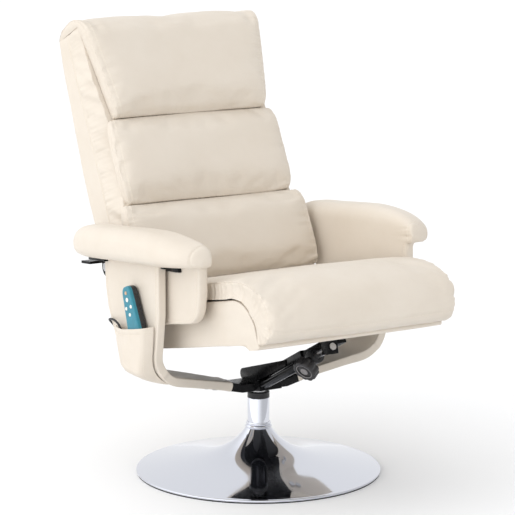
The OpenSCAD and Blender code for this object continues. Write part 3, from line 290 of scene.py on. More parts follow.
def band(name, outer, inner, matrix, k, dome=0.0, out=(1, 0, 0)):
    """A closed skin between two sheets of m stations by n points. Each end is a ladder of k rungs
    that swells by dome along out. Returns the object and the vertex numbers of the outer sheet and
    of the ends."""
    outer, inner = np.asarray(outer, float), np.asarray(inner, float)
    m, n, _ = outer.shape
    j = np.arange(1, k) / k
    side_b = mix(outer[:, -1:], inner[:, -1:], j[None, :, None])
    side_a = mix(inner[:, :1], outer[:, :1], j[None, :, None])
    loops = np.concatenate([outer, side_b, inner[:, ::-1], side_a], axis=1)
    size = loops.shape[1]
    verts = [loops.reshape(-1, 3)]
    faces = ring_faces(m, size)
    count = m * size
    ends = []
    for s, sign in ((0, -1), (m - 1, 1)):
        grid = np.empty((n, k + 1), np.int64)
        grid[:, 0] = s * size + np.arange(n)
        grid[:, k] = s * size + n + (k - 1) + np.arange(n)[::-1]
        grid[n - 1, 1:k] = s * size + n + np.arange(k - 1)
        grid[0, 1:k] = (s * size + 2 * n + (k - 1) + np.arange(k - 1))[::-1]
        fill = []
        for i in range(1, n - 1):
            swell = dome * np.sin(np.pi * j) * min(1.0, 6 * min(i, n - 1 - i) / n)
            row = mix(outer[s, i], inner[s, i], j[:, None])
            fill.append(row + sign * swell[:, None] * out)
            grid[i, 1:k] = count + np.arange(k - 1)
            count += k - 1
        verts.append(np.concatenate(fill))
        a, b, c, d = grid[:-1, :-1], grid[1:, :-1], grid[1:, 1:], grid[:-1, 1:]
        faces += list(zip(a.ravel(), b.ravel(), c.ravel(), d.ravel()))
        ends.append(grid)
    obj = new_object(name, placed(np.concatenate(verts), matrix), faces)
    return obj, np.arange(m * size).reshape(m, size)[:, :n], ends


def puffed(obj, free, cap, pressure, grow):
    """Cloth under pressure on the free points, which move no further than cap."""
    scene = bpy.context.scene
    rest = coords(obj)
    held = obj.vertex_groups.new(name="held")
    held.add(np.nonzero(~free)[0].tolist(), 1.0, "REPLACE")
    cloth = obj.modifiers.new("Cloth", "CLOTH")
    settings = cloth.settings
    for key, value in (
            ("vertex_group_mass", held.name), ("quality", 5), ("mass", 0.3), ("tension_stiffness", 25),
            ("compression_stiffness", 25), ("shear_stiffness", 8), ("bending_stiffness", 1.2),
            ("use_pressure", True), ("uniform_pressure_force", pressure), ("shrink_min", -grow),
            ("shrink_max", -grow)):
        setattr(settings, key, value)
    settings.effector_weights.gravity = 0
    cloth.collision_settings.use_collision = False
    cloth.point_cache.frame_start = 1
    cloth.point_cache.frame_end = CLOTH_FRAMES
    for f in range(CLOTH_FRAMES):
        scene.frame_set(f + 1)
    graph = bpy.context.evaluated_depsgraph_get()
    moved = coords(obj.evaluated_get(graph))
    obj.modifiers.clear()
    obj.vertex_groups.clear()
    scene.frame_set(1)
    step = moved - rest
    length = np.linalg.norm(step, axis=1, keepdims=True)
    step *= np.minimum(1, cap * np.tanh(length / cap) / np.maximum(length, 1e-9))
    set_coords(obj, rest + step)


def inflated(obj, points, cap, pressure, grow):
    """Puffs the given points of a mesh and evens them out; the others stay."""
    free = np.zeros(len(obj.data.vertices), bool)
    free[points.ravel()] = True
    puffed(obj, free, cap, pressure, grow)
    relaxed(obj, 2, ~free)


def remeshed(obj, voxel):
    mod = obj.modifiers.new("Remesh", "REMESH")
    mod.mode = "VOXEL"
    mod.voxel_size = voxel
    applied(obj)


# Seams, gathers and stitches
def local(obj, matrix):
    """Places of a mesh's points in a frame, in millimetres."""
    m = np.linalg.inv(np.array(matrix, float))
    return (coords(obj) / MM) @ m[:3, :3].T + m[:3, 3]


def looks(obj, side):
    """1 where a mesh looks along side, 0 where it looks across it or away."""
    return np.clip((read(obj, "normal") @ side - 0.35) / 0.3, 0, 1)


def worked(obj, seams, waves):
    """Moves a mesh along its normals. A wave (matrix, cell, height, seed, share) wrinkles it. A seam
    (line, depth, width, fold, reach, share, seed) draws it in and gathers it beside the line. The
    share is 1, or a number for each point that says how far the wrinkles or gathers reach it."""
    co = coords(obj)
    lift = np.zeros(len(co))
    for matrix, cell, height, seed, share in waves:
        lift += height * MM * share * value_noise(local(obj, matrix) / cell, seed)
    for line, depth, width, fold, reach, share, seed in seams:
        line = resample(line, max(8, int(along(line)[-1] / SEAM_STEP)))
        s = along(line)
        tree = KDTree(len(line))
        for i, p in enumerate(line):
            tree.insert(p, i)
        tree.balance()
        lo, hi = line.min(0) - 3 * reach, line.max(0) + 3 * reach
        near = np.nonzero(((co > lo) & (co < hi)).all(1))[0]
        index, d = np.array([tree.find(co[v])[1:] for v in near]).T
        lift[near] -= depth * MM * np.exp(-(d / (width * MM)) ** 2)
        ramp = (1 - np.exp(-d / FOLD_START)) * np.exp(-d / reach)
        wanted = (share * np.ones(len(co)))[near]
        lift[near] += fold * MM * wanted * ramp * folds(s[index.astype(int)], seed)
    set_coords(obj, co + read(obj, "normal") * lift[:, None])


def stitches(name, obj, lines, body):
    """A thread sewn along lines on an object's surface, one short capsule per stitch."""
    graph = bpy.context.evaluated_depsgraph_get()
    skin = BVHTree.FromObject(obj, graph)
    verts, faces = [], []
    for line in lines:
        count = int(along(line)[-1] / STITCH_PITCH)
        fine = resample(line, 2 * count + 1)
        for i in range(count):
            ends = []
            for p in (fine[2 * i], mix(fine[2 * i], fine[2 * i + 2], 0.72)):
                hit, normal, _, _ = skin.find_nearest(Vector(p))
                ends.append(np.array(hit) + np.array(normal) * STITCH_R * 0.35)
            axis = ends[1] - ends[0]
            length = np.linalg.norm(axis)
            if length < 1e-5:
                continue
            axis /= length
            ring = circle(axis, np.cross(axis, (0.31, 0.22, 0.93)), 6)
            start = len(verts)
            for at, r in ((0.0, 0.35), (0.22, 1.0), (0.78, 1.0), (1.0, 0.35)):
                verts += list(ends[0] + axis * length * at + ring * STITCH_R * r)
            faces += loft_faces(4, 6, start)
    piece = new_object(name, verts, faces)
    smooth_shaded(piece, 50)
    piece.data.materials.append(thread)
    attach(piece, body)


def finished(obj, body, slot, *replaced, material=None):
    """Gives a piece its material, picked by its slot unless one is given, and its body, and hides the nodes
    that it stands for.
    """
    obj.data.materials.clear()
    obj.data.materials.append(material or SLOT_MATERIAL[slot])
    if body:
        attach(obj, body)
    if replaced:
        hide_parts(*replaced)


def upholstered(obj, body, fill, *replaced, angle=None):
    """Smooth-shades a leather piece and finishes it."""
    smooth_shaded(obj, angle)
    finished(obj, body, "leather", *replaced)


# Materials
EVEN = (1, 1, 1)


class Graph:
    """A node tree with helpers to add and join nodes."""

    def __init__(self, tree):
        self.tree = tree

    def node(self, kind, **values):
        node = self.tree.nodes.new(kind)
        for key, value in values.items():
            name = key.replace("_", " ")
            if name in node.inputs:
                node.inputs[name].default_value = value
            else:
                setattr(node, key, value)
        return node

    def link(self, a, b):
        self.tree.links.new(a, b)


class Shader(Graph):
    """A Principled material with helpers for its procedural nodes."""

    def __init__(self, name, color, rough, **more):
        self.mat = bpy.data.materials.new(name)
        self.mat.use_nodes = True
        super().__init__(self.mat.node_tree)
        self.bsdf = self.tree.nodes["Principled BSDF"]
        self.bsdf.inputs["Base Color"].default_value = (*color, 1)
        self.bsdf.inputs["Roughness"].default_value = rough
        for key, value in more.items():
            self.bsdf.inputs[key.replace("_", " ")].default_value = value
        self.coord = self.tree.nodes.new("ShaderNodeTexCoord")
        self.normal = None

    def space(self, stretch=EVEN):
        mapping = self.node("ShaderNodeMapping")
        mapping.inputs["Scale"].default_value = stretch
        self.link(self.coord.outputs["Object"], mapping.inputs["Vector"])
        return mapping.outputs["Vector"]

    def noise(self, scale, detail, rough=0.5, stretch=EVEN, bend=0.0):
        node = self.node("ShaderNodeTexNoise", Scale=scale, Detail=detail, Roughness=rough, Distortion=bend)
        self.link(self.space(stretch), node.inputs["Vector"])
        return node.outputs["Fac"]

    def cells(self, scale):
        node = self.node("ShaderNodeTexVoronoi", feature="DISTANCE_TO_EDGE", Scale=scale)
        self.link(self.space(), node.inputs["Vector"])
        return node.outputs["Distance"]

    def ramp(self, value, low, high, start=0.0, end=1.0):
        """A number or a colour from low to high as value goes from start to end."""
        if isinstance(low, tuple):
            node = self.node("ShaderNodeValToRGB")
            node.color_ramp.elements[0].position = start
            node.color_ramp.elements[1].position = end
            node.color_ramp.elements[0].color = (*low, 1)
            node.color_ramp.elements[1].color = (*high, 1)
            self.link(value, node.inputs["Fac"])
            return node.outputs["Color"]
        node = self.node("ShaderNodeMapRange", From_Min=start, From_Max=end, To_Min=low, To_Max=high)
        self.link(value, node.inputs["Value"])
        return node.outputs["Result"]

    def bump(self, output, distance, strength):
        node = self.node("ShaderNodeBump", Strength=strength, Distance=distance)
        self.link(output, node.inputs["Height"])
        if self.normal:
            self.link(self.normal, node.inputs["Normal"])
        self.normal = node.outputs["Normal"]
        self.link(self.normal, self.bsdf.inputs["Normal"])


def surface(name, color, rough, tint=None, gloss=None, bumps=(), **more):
    """A material. Tint and gloss are a noise and the two ends that its ramp runs between, and each
    bump is a noise with its height and strength."""
    s = Shader(name, color, rough, **more)
    if tint:
        s.link(s.ramp(s.noise(*tint[0]), *tint[1:]), s.bsdf.inputs["Base Color"])
    if gloss:
        s.link(s.ramp(s.noise(*gloss[0]), *gloss[1:]), s.bsdf.inputs["Roughness"])
    for noise, height, strength in bumps:
        s.bump(s.noise(*noise), height, strength)
    return s


def leather_material():
    s = surface("leather_cream", (0.72, 0.65, 0.56), 0.46,
                ((7, 4, 0.6), (0.685, 0.612, 0.52), (0.72, 0.652, 0.565), 0.3, 0.7),
                ((60, 4), 0.4, 0.54, 0.3, 0.7),
                [((26, 4, 0.55, EVEN, 0.6), 0.0016, 0.3), ((190, 3, 0.6), 0.0004, 0.35)],
                Specular_IOR_Level=0.42)
    s.bump(s.cells(760), 0.00022, 0.55)
    return s.mat


def paint_material(name, color, rough, grain=900):
    light = tuple(min(1, c * 1.5 + 0.003) for c in color)
    return surface(name, color, rough, ((40, 5, 0.65), color, light, 0.4, 0.75),
                   ((90, 4), rough * 0.8, rough * 1.3, 0.3, 0.7), [((grain, 2), 0.00012, 0.35)],
                   Specular_IOR_Level=0.12).mat


def plastic_material(name, color, rough, grain=1400, depth=0.0001):
    light = tuple(min(1, c * 1.16 + 0.004) for c in color)
    return surface(name, color, rough, ((120, 4), color, light, 0.35, 0.7),
                   ((200, 3), rough * 0.85, min(1, rough * 1.2), 0.3, 0.7), [((grain, 2), depth, 0.4)],
                   Specular_IOR_Level=0.5).mat


thread = surface("thread_cream", (0.8, 0.73, 0.62), 0.6, ((900, 2), (0.7, 0.62, 0.52), (0.84, 0.78, 0.68)),
                 bumps=[((2600, 2, 0.5, (1, 1, 3)), 0.0002, 0.6)]).mat
chrome = surface("chrome_polished", (0.66, 0.675, 0.73), 0.05, gloss=((16, 5, 0.6), 0.03, 0.075, 0.35, 0.7),
                 bumps=[((420, 2, 0.5, (1, 1, 0.2)), 0.00002, 0.12)], Metallic=1.0).mat
steel = surface("steel_bare", (0.56, 0.56, 0.57), 0.3,
                ((55, 5), (0.44, 0.44, 0.45), (0.62, 0.62, 0.63), 0.35, 0.7),
                ((240, 4, 0.5, (1, 1, 0.08)), 0.24, 0.42, 0.3, 0.7),
                [((700, 3, 0.5, (1, 1, 0.05)), 0.00006, 0.4)], Metallic=1.0).mat
timber = surface("timber_raw", (0.5, 0.35, 0.2), 0.7,
                 ((14, 6, 0.6, (1, 12, 12), 0.8), (0.36, 0.23, 0.12), (0.6, 0.44, 0.27), 0.3, 0.7),
                 bumps=[((60, 5, 0.5, (1, 14, 14)), 0.0004, 0.5)]).mat
grip_plastic = plastic_material("plastic_grip", (0.02, 0.019, 0.02), 0.5, 800, 0.0003)
ring_plastic = plastic_material("plastic_ring", (0.2, 0.19, 0.19), 0.35)
SLOT_MATERIAL = {
    "leather": leather_material(), "chrome": chrome, "bare_steel": steel, "timber": timber,
    "black_steel": paint_material("steel_black", (0.004, 0.004, 0.0045), 0.24),
    "dark_tube": paint_material("tube_dark", (0.006, 0.006, 0.0065), 0.14, 1600)}
for slot, name, *values in (
        ("black_plastic", "plastic_black", (0.012, 0.012, 0.013), 0.42),
        ("handset_shell", "handset_black", (0.012, 0.013, 0.016), 0.3),
        ("teal_plastic", "handset_teal", (0.022, 0.2, 0.27), 0.38, 1800, 0.00005),
        ("white_plastic", "key_white", (0.82, 0.79, 0.72), 0.35),
        ("tan_plastic", "key_tan", (0.62, 0.4, 0.24), 0.38),
        ("circuit_board", "board_green", (0.02, 0.16, 0.06), 0.5),
        ("cord_rubber", "cord_rubber", (0.014, 0.014, 0.016), 0.55, 700, 0.0002),
        ("floor_felt", "felt_black", (0.02, 0.02, 0.02), 0.95, 500, 0.0008),
        ("foam", "foam_cream", (0.8, 0.72, 0.58), 0.95, 260, 0.0015)):
    SLOT_MATERIAL[slot] = plastic_material(name, *values)
for part in frame["record"]["subparts"]:
    node = nodes[part["node"]]
    node.data.materials.clear()
    node.data.materials.append(SLOT_MATERIAL[part["material_slot"]])


# Cord
CORD_ROUTE = [
    (-290, 62, 330), (-280, 62, 330), (-273, 63, 327), (-267, 66, 320), (-263, 72, 311),
    (-261, 80, 303), (-260, 91, 297), (-260, 104, 294), (-261, 117, 295), (-264, 129, 300),
    (-269, 139, 309), (-276, 145, 321), (-284, 147, 333), (-292, 146, 345), (-300, 143, 354),
    (-309, 137, 362), (-315, 126, 367), (-318, 112, 370), (-320, 98, 371), (-322, 84, 370),
    (-323, 71, 366), (-324, 60, 359), (-325, 51, 350), (-325, 42, 336), (-325, 33, 322),
    (-325, 24, 309), (-325, 14, 299), (-325, 2, 292), (-325, -11, 287), (-325, -22, 286),
    (-325, -33, 286), (-325, -40, 288), (-325, -45, 293), (-325, -47, 300), (-325, -46, 305),
    (-325, -42, 314)]
CORD_D = 5


def smooth_path(points, parts):
    """A Catmull-Rom line through points, with parts steps between each two."""
    p = np.asarray(points, float)
    p = np.vstack([2 * p[0] - p[1], p, 2 * p[-1] - p[-2]])
    found = []
    for i in range(1, len(p) - 2):
        for t in np.arange(parts) / parts:
            found.append(0.5 * (2 * p[i] + (p[i + 1] - p[i - 1]) * t
                                + (2 * p[i - 1] - 5 * p[i] + 4 * p[i + 1] - p[i + 2]) * t ** 2
                                + (3 * p[i] - p[i - 1] - 3 * p[i + 1] + p[i + 2]) * t ** 3))
    return np.array(found + [p[-2]])


def tube(name, path, radius, sides):
    """A round tube along a path in metres, closed at both ends."""
    ahead = np.gradient(path, axis=0)
    ahead /= np.linalg.norm(ahead, axis=1, keepdims=True)
    u = np.cross(ahead[0], (0.3, 0.2, 1))
    rings = []
    for p, d in zip(path, ahead):
        u = u - d * (u @ d)
        rings.append(p + radius * circle(d, u, sides))
    obj = new_object(name, np.concatenate(rings), loft_faces(len(rings), sides))
    smooth_shaded(obj, 60)
    return obj


cord_path = smooth_path(CORD_ROUTE, 3) * MM
cord = tube("handset_lead", cord_path, CORD_D / 2 * MM, 12)
finished(cord, None, "cord_rubber", "handset_cord")
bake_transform(cord)


# Turned metal parts
def lathe(name, profile, matrix=WORLD, sides=96, angle=35):
    """A turned part: radius and height of its profile, closed on itself."""
    profile = np.asarray(profile, float)
    turn = 2 * np.pi * np.arange(sides) / sides
    n = len(profile)
    verts = np.stack([np.outer(np.cos(turn), profile[:, 0]), np.outer(np.sin(turn), profile[:, 0]),
                      np.tile(profile[:, 1], (sides, 1))], axis=2).reshape(-1, 3)
    obj = new_object(name, placed(verts, matrix), np.array(ring_faces(sides + 1, n)) % (sides * n))
    smooth_shaded(obj, angle)
    return obj


NECK_R, NECK_Z, FOOT_R, FOOT_T = 28.1, 104, 280, 3
CONE_H, FLARE_H, FLARE_POWER = 48, 48, 6.5


def dish_profile():
    """Top of the foot from its neck to the rim, then back along the underside."""
    u = np.linspace(0, 1, 60) ** 1.6
    r = mix(NECK_R, FOOT_R - 2.5, u)
    z = 8 + CONE_H * (1 - u) + FLARE_H * (1 - u) ** FLARE_POWER
    slope = np.gradient(z, r)
    under = np.column_stack([r + FOOT_T * slope / np.hypot(1, slope), z - FOOT_T / np.hypot(1, slope)])
    rim = arc(FOOT_R - 3, 5.2, 3, 3, 70, -60, 8)
    return np.vstack([np.column_stack([r, z]), rim, [[FOOT_R - 6, 2.2]], under[:-2][::-1],
                      [[NECK_R - FOOT_T, NECK_Z - 3], [NECK_R - FOOT_T, NECK_Z]]])


finished(lathe("foot_disc", dish_profile(), sides=240, angle=50), "base", "chrome", "foot_dish")
finished(lathe("foot_neck_ring", np.vstack([
    [[25.2, 104.1], [29.4, 104.1]], arc(29.6, 105.6, 1.2, 1.5, -60, 80, 8), [[29.4, 108.4], [28, 110.2]],
    arc(27.6, 112.6, 0.9, 1.6, -50, 90, 6), [[27.1, 116.8], [25.2, 117]]])),
    "base", "chrome", "foot_collar")
finished(lathe("column_sleeve", [
    [18, 36], [25, 36], [25, 171.6], [24.4, 172.8], [22.6, 172.9], [22.5, 60], [18, 56]], sides=128),
    "base", "chrome", "column_tube")
finished(lathe("column_head", np.vstack([
    [[15.2, 139], [22.3, 139], [22.3, 173.05], [25.3, 173.05]], arc(24.2, 175, 1.3, 1.4, -50, 60, 5),
    arc(24.2, 179.6, 1.3, 1.3, -50, 50, 5), arc(23.6, 184.8, 1.8, 2.1, -30, 90, 7), [[15.2, 187]]])),
    "base", "black_plastic", "column_cap")


# Rigid parts with their edges broken
def refined(node_name, name, width):
    """A copy of a hard CAD part with welded faces, rounded edges and smooth curves."""
    mesh = nodes[node_name].data.copy()
    obj = linked(name, mesh)
    bm = bmesh.new()
    bm.from_mesh(mesh)
    bmesh.ops.remove_doubles(bm, verts=bm.verts, dist=0.00002)
    bmesh.ops.dissolve_limit(bm, angle_limit=math.radians(1), verts=bm.verts, edges=bm.edges)
    bm.to_mesh(mesh)
    bm.free()
    if mesh.has_custom_normals:
        with bpy.context.temp_override(object=obj, active_object=obj):
            bpy.ops.mesh.customdata_custom_splitnormals_clear()
    bevelled(obj, width)
    finished(obj, BODY_OF[node_name], SLOT_OF[node_name], node_name)


BODY_OF = {n: b for b, members in frame["record"]["behaviour"]["bodies"].items() for n in members}
SLOT_OF = {part["node"]: part["material_slot"] for part in frame["record"]["subparts"]}
for node_name, name, width in (
        ("crossbar", "crossbar_welded", 0.0015), ("slide_sleeve", "slide_sleeve_tube", 0.0022),
        ("slide_bar", "slide_bar_steel", 0.001), ("seat_yoke", "seat_yoke_plate", 0.0012),
        ("seat_link_plates", "link_plates", 0.0006), ("back_hinge_plates", "hinge_plates", 0.0007),
        ("pivot_brackets", "brackets", 0.0008), ("pivot_bolts", "pivot_bolt_heads", 0.0012),
        ("link_pins", "link_pin_heads", 0.0006), ("frame_fasteners", "frame_screws", 0.0006),
        ("brake_tube", "brake_tube_gloss", 0.0006), ("brake_collar", "brake_collar_boss", 0.0012),
        ("spindle_nut", "spindle_locknut", 0.0008)):
    refined(node_name, name, width)


# Clamp knob
KNOB_R, KNOB_LOBES, LOBE_CUT, LOBE_DEEP = 28.0, 10, 5.0, 2.6


def knob_radius(angle):
    """Radius of the scalloped rim at an angle."""
    pitch = 2 * np.pi / KNOB_LOBES
    phi = (angle + pitch / 2) % pitch - pitch / 2
    centre = KNOB_R + LOBE_CUT - LOBE_DEEP
    inside = LOBE_CUT ** 2 - (centre * np.sin(phi)) ** 2
    bite = centre * np.cos(phi) - np.sqrt(np.maximum(inside, 0))
    return np.where(inside > 0, np.minimum(KNOB_R, bite), KNOB_R)


def make_knob():
    turn = 2 * np.pi * np.arange(240) / 240
    rim = knob_radius(turn)
    rim = np.convolve(np.r_[rim[-3:], rim, rim[:3]], np.ones(7) / 7, "valid")
    sides = [(-2.0, 27.1), (-0.6, 27.5), (0, 29), (0, 37), (0, 45.4), (-0.5, 46.8), (-1.4, 47.6), (-2.8, 48)]
    face = [(0.74, 48), (0.70, 47.8), (0.67, 46.9), (0.655, 45.2), (0.63, 45.0), (0.42, 45.1), (0.40, 45.4),
            (0.385, 46.2), (0.36, 46.5), (0.2, 46.4), (0.02, 46.4)]
    steps = [(KNOB_R * 0.2, 27.1)] + [(rim + inset, z) for inset, z in sides]
    steps += [(KNOB_R * share, z) for share, z in face]
    verts, n = [], len(turn)
    for r, z in steps:
        verts += list(np.column_stack([r * np.cos(turn), r * np.sin(turn), np.full(n, z)]))
    obj = new_object("knob_grip", placed(verts, KNOB), loft_faces(len(steps), n))
    smooth_shaded(obj, 40)
    finished(obj, "knob", "black_plastic", "clamp_knob", material=grip_plastic)
    ring = lathe("knob_ring", arc(18.6, 46.6, 1.0, 1.0, 0, 345, 11), KNOB)
    finished(ring, "knob", "bare_steel", material=ring_plastic)
    disc = lathe("knob_centre", [[0.1, 45], [7.6, 45], [9.0, 46.6], [9.0, 47.1], [8.2, 47.5], [4.8, 47.6],
                                 [4.0, 47.2], [0.1, 47.1]], KNOB, 64)
    finished(disc, "knob", "bare_steel", material=ring_plastic)


make_knob()


# Handset
HAND_L, HAND_W, HAND_END = 160, 54, 14


def handset_half(z):
    t = z / HAND_L
    body = mix(mix(0.84, 1, np.minimum(1, t / 0.35)), 0.62, np.maximum(0, (t - 0.35) / 0.65))
    low = 1 - np.maximum(0, 1 - z / HAND_END) ** 2 * 0.5
    high = np.sqrt(np.maximum(0, 1 - np.maximum(0, 1 - (HAND_L - z) / HAND_END) ** 2)) * 0.6 + 0.4
    return HAND_W / 2 * body * low * high


def handset_layer(name, sections, slot, replaced):
    """A shell from (x, inset) sections of the handset's outline, rounded at its edges."""
    z = np.r_[np.linspace(0, 8, 9)[:-1], np.linspace(8, HAND_L - 16, 26)[:-1],
              np.linspace(HAND_L - 16, HAND_L, 14)]
    half = handset_half(z)
    evened(half, 4)
    right = np.column_stack([half, z])
    outline = np.vstack([right, right[::-1] * [-1, 1]])
    centre = np.array([0, HAND_L / 2])
    verts, n = [], len(outline)
    for x, inset in sections:
        scale = 1 - 2 * inset / np.array([HAND_W, HAND_L])
        verts += list(at_x(x, centre + (outline - centre) * scale))
    obj = new_object(name, placed(verts, HANDSET), loft_faces(len(sections), n))
    smooth_shaded(obj, 30)
    finished(obj, "handset", slot, replaced)


handset_layer("handset_front", [(-3.1, 0.5), (-8.6, 0.5), (-10, 1.0), (-10.7, 2.0), (-11, 3.6), (-11, 9)],
              "teal_plastic", "handset_face")
handset_layer("handset_shell", [(11, 9), (11, 4.5), (10.6, 2.6), (9.4, 1.0), (7.4, 0.1), (2, 0),
                                (-2.4, 0), (-2.9, 0.4)], "handset_shell", "handset_back")
for key, y, z, r in (("power", 0, 129.6, 5), ("mode", 0, 144.8, 4), ("upper", -10.8, 112, 4),
                     ("lower", 10.8, 112, 4), ("seat", 0, 96, 4)):
    slot = "tan_plastic" if key == "mode" else "white_plastic"
    turned = HANDSET @ Matrix.Translation((0, y, z)) @ Matrix.Rotation(math.radians(-90), 4, "Y")
    cap = np.vstack([[[0.05, 8], [r - 0.1, 8], [r - 0.1, 11.6]], arc(r - 0.9, 11.7, 0.8, 0.8, 10, 90, 5),
                     [[r * 0.6, 12.35], [r * 0.3, 12.2], [0.05, 12.15]]])
    finished(lathe("key_" + key, cap, turned, 40), key + "_key", slot, "button_" + key)


# Seat cushion
CUSHION_HALF, CUSHION_TIP, BOX_FRONT = 239, 465, 388


def cushion_chains(x, n):
    f = grown(0, x / CUSHION_HALF, 3.2)
    crown = 9 * f
    tip = CUSHION_TIP - 27 * (1 - f)
    shares, lifts = [0.08, 0.2, 0.4, 0.62, 0.82], [0.25, 0.6, 0.9, 1, 1]
    top = [[mix(100, -300, s), 136 + crown * c] for s, c in zip(shares, lifts)]
    foot = np.radians(180 + 90 * np.arange(1, 13) / 12)
    outer = np.vstack([[[100, 112], [98, 122], [92.8, 130]], top,
                       arc(-300, 45, tip - 300, 91 + crown, 90, 180, 30),
                       np.column_stack([-396 + (tip - 396) * np.cos(foot), 45 + 47 * np.sin(foot)])])
    s = np.linspace(0, 1, 6)[1:-1]
    inner = np.vstack([[[100, 101.5], [-300, 101.5]], arc(-300, 4, 89.5, 97.5, 90, 180, 24)[1:],
                       np.column_stack([-BOX_FRONT - 8 * s, mix(4, -2, s * s)])])
    return at_x(x, resample(outer, n)), at_x(x, resample(inner, n))


def make_cushion():
    outer, inner = zip(*[cushion_chains(x, 140) for x in across(CUSHION_HALF, 81)])
    obj, skin, _ = band("seat_pad", outer, inner, SEAT, 9, dome=-3.5)
    inflated(obj, skin[3:-3, 8:-6], cap=0.004, pressure=3.0, grow=0.006)
    ends = [coords(obj)[skin[i]] for i in (0, -1)]
    low = coords(obj)[skin[:, -13]]
    subdivided(obj)
    seams = [(low, 1.5, 2.6, 0.5, 0.014, 1, 31)]
    boxing = 0
    for line, side, seed in zip(ends, (-1, 1), (11, 12)):
        look = looks(obj, (side, 0, 0))
        boxing = boxing + look
        seams.append((line, 1.7, 2.8, 1.2, 0.020, 1 - look, seed))
        seams.append((line, 0, 2.8, 4.4, 0.034, look, seed + 20))
    worked(obj, seams, [(SEAT, (150, 90, 200), 1.6, 5, 1), (SEAT, (60, 38, 80), 0.5, 6, 1),
                        (SEAT, (60, 20, 24), 2.6, 7, boxing)])
    upholstered(obj, "seat", 0.85, "seat_cushion")
    lines = [line - (side * 0.005, 0, 0) for line, side in zip(ends, (-1, 1))]
    stitches("seat_pad_thread", obj, lines + [low + (0, 0.0016, -0.0036)], "seat")


make_cushion()


# Back pillows
def rounded_corners(points, half, z_mid, z_half, low, high):
    """Draws in the ends of a pillow at its lower and upper corners."""
    t = np.clip(np.abs(points[..., 2] - z_mid) / z_half, 0, 1) ** 5
    radius = np.where(points[..., 2] < z_mid, low, high)
    u = (np.abs(points[..., 0]) / half) ** 10
    points[..., 0] -= np.sign(points[..., 0]) * radius * t * u
    return points


def pillow_sheets(half, z0, z1, crown, edge, low, high):
    outer, inner = [], []
    z_mid, z_half = (z0 + z1) / 2, (z1 - z0) / 2
    for x in across(half, 71):
        f = grown(edge, x / half, 4)
        a = np.radians(np.linspace(0, 180, 60))
        z = z_mid - (z_half - 7 * (1 - f)) * powered(np.cos(a), 0.62)
        y = -4 - (crown - 4) * f * np.sin(a) ** 0.62
        chain = resample(np.column_stack([y, z]), 76)
        outer.append(at_x(x, chain))
        inner.append(at_x(x, chain * [0, 1]))
    return [rounded_corners(np.array(sheet), half, z_mid, z_half, low, high) for sheet in (outer, inner)]


COVER_TOP, HEAD_FOOT = 628, 397.6


def head_sheets(half):
    """The head pillow's front and its wrap over the top; it narrows towards its foot."""
    outer, inner = [], []
    z0, zc, rear = HEAD_FOOT, 590.0, 113
    for x in across(half, 71):
        f = grown(0.6, x / half, 4)
        p, top = 4 + 38 * f, 62 * mix(0.88, 1, f)
        turn = np.radians(np.linspace(180, 5, 60))
        wrap = np.column_stack([(rear - p) / 2 + (rear + p) / 2 * powered(np.cos(turn), 0.75),
                                zc + top * np.sin(turn) ** 0.85])
        wrap = wrap[(wrap[:, 0] < 50) | (wrap[:, 1] > COVER_TOP)]
        a = np.radians(np.linspace(0, 90, 24))
        front = np.column_stack([-mix(4, p, np.sin(a) ** 0.62), mix(z0, zc, 0.4 * (1 - np.cos(a) ** 0.62))])
        chain = resample(np.vstack([front, [[-p, mix(z0, zc, 0.7)]], wrap]), 120)
        outer.append(at_x(x, chain))
        flat = np.array([[0, z0], [0, COVER_TOP], [chain[-1, 0] - 4, COVER_TOP]])
        inner.append(at_x(x, resample(flat, 120)))
    outer, inner = np.array(outer), np.array(inner)
    for sheet in (outer, inner):
        sheet[..., 0] *= mix(0.84, 1, (sheet[..., 2] - HEAD_FOOT) / 254.4)
    low = np.clip((425 - outer[..., 2]) / 28, 0, 1) ** 2
    outer[..., 0] -= np.sign(outer[..., 0]) * 12 * low * (np.abs(outer[..., 0]) / half) ** 10
    return outer, inner


def make_pillow(name, node_name, seed, wave, sheets):
    obj, skin, _ = band(name, *sheets, BACK, 6, dome=2)
    inflated(obj, skin[3:-3, 3:-3], cap=0.007, pressure=3.5, grow=0.022)
    lines = [coords(obj)[skin[i]] for i in (0, -1)]
    second = [coords(obj)[skin[i]] for i in (7, -8)]
    bottom = coords(obj)[skin[:, 1]]
    subdivided(obj)
    seams = [(bottom, 0.5, 3.0, 0.8, 0.018, 1, seed + 9)]
    for line, inset, side in zip(lines, second, (-1, 1)):
        look = looks(obj, (side, 0, 0))
        seams.append((line, 1.4, 2.6, 1.5, 0.018, 1 - look, seed + side))
        seams.append((line, 0, 2.6, 1.2, 0.010, look, seed + side + 4))
        seams.append((inset, 0.9, 2.2, 0.7, 0.012, 1, seed + side + 6))
    worked(obj, seams, [(BACK, (120, 80, 90), 1.4, seed, 1), (BACK, wave, 0.6, seed + 3, 1)])
    upholstered(obj, "back", 0.7, node_name)
    lines = [line - (0.004 * side, 0, 0) for line, side in zip(second, (-1, 1))]
    stitches(name + "_thread", obj, lines, "back")


make_pillow("lumbar_pillow", "lower_pillow", 41, (45, 60, 70), pillow_sheets(240, 2, 189, 40, 0.62, 0, 10))
make_pillow("shoulder_pillow", "middle_pillow", 51, (50, 60, 60),
            pillow_sheets(226, 189.6, 397, 34, 0.3, 12, 12))
make_pillow("head_cushion", "head_pillow", 61, (55, 60, 70), head_sheets(240))


# Back cover
BACK_HALF, BACK_H, SHELL_SEAM = 240, COVER_TOP - 0.3, 51


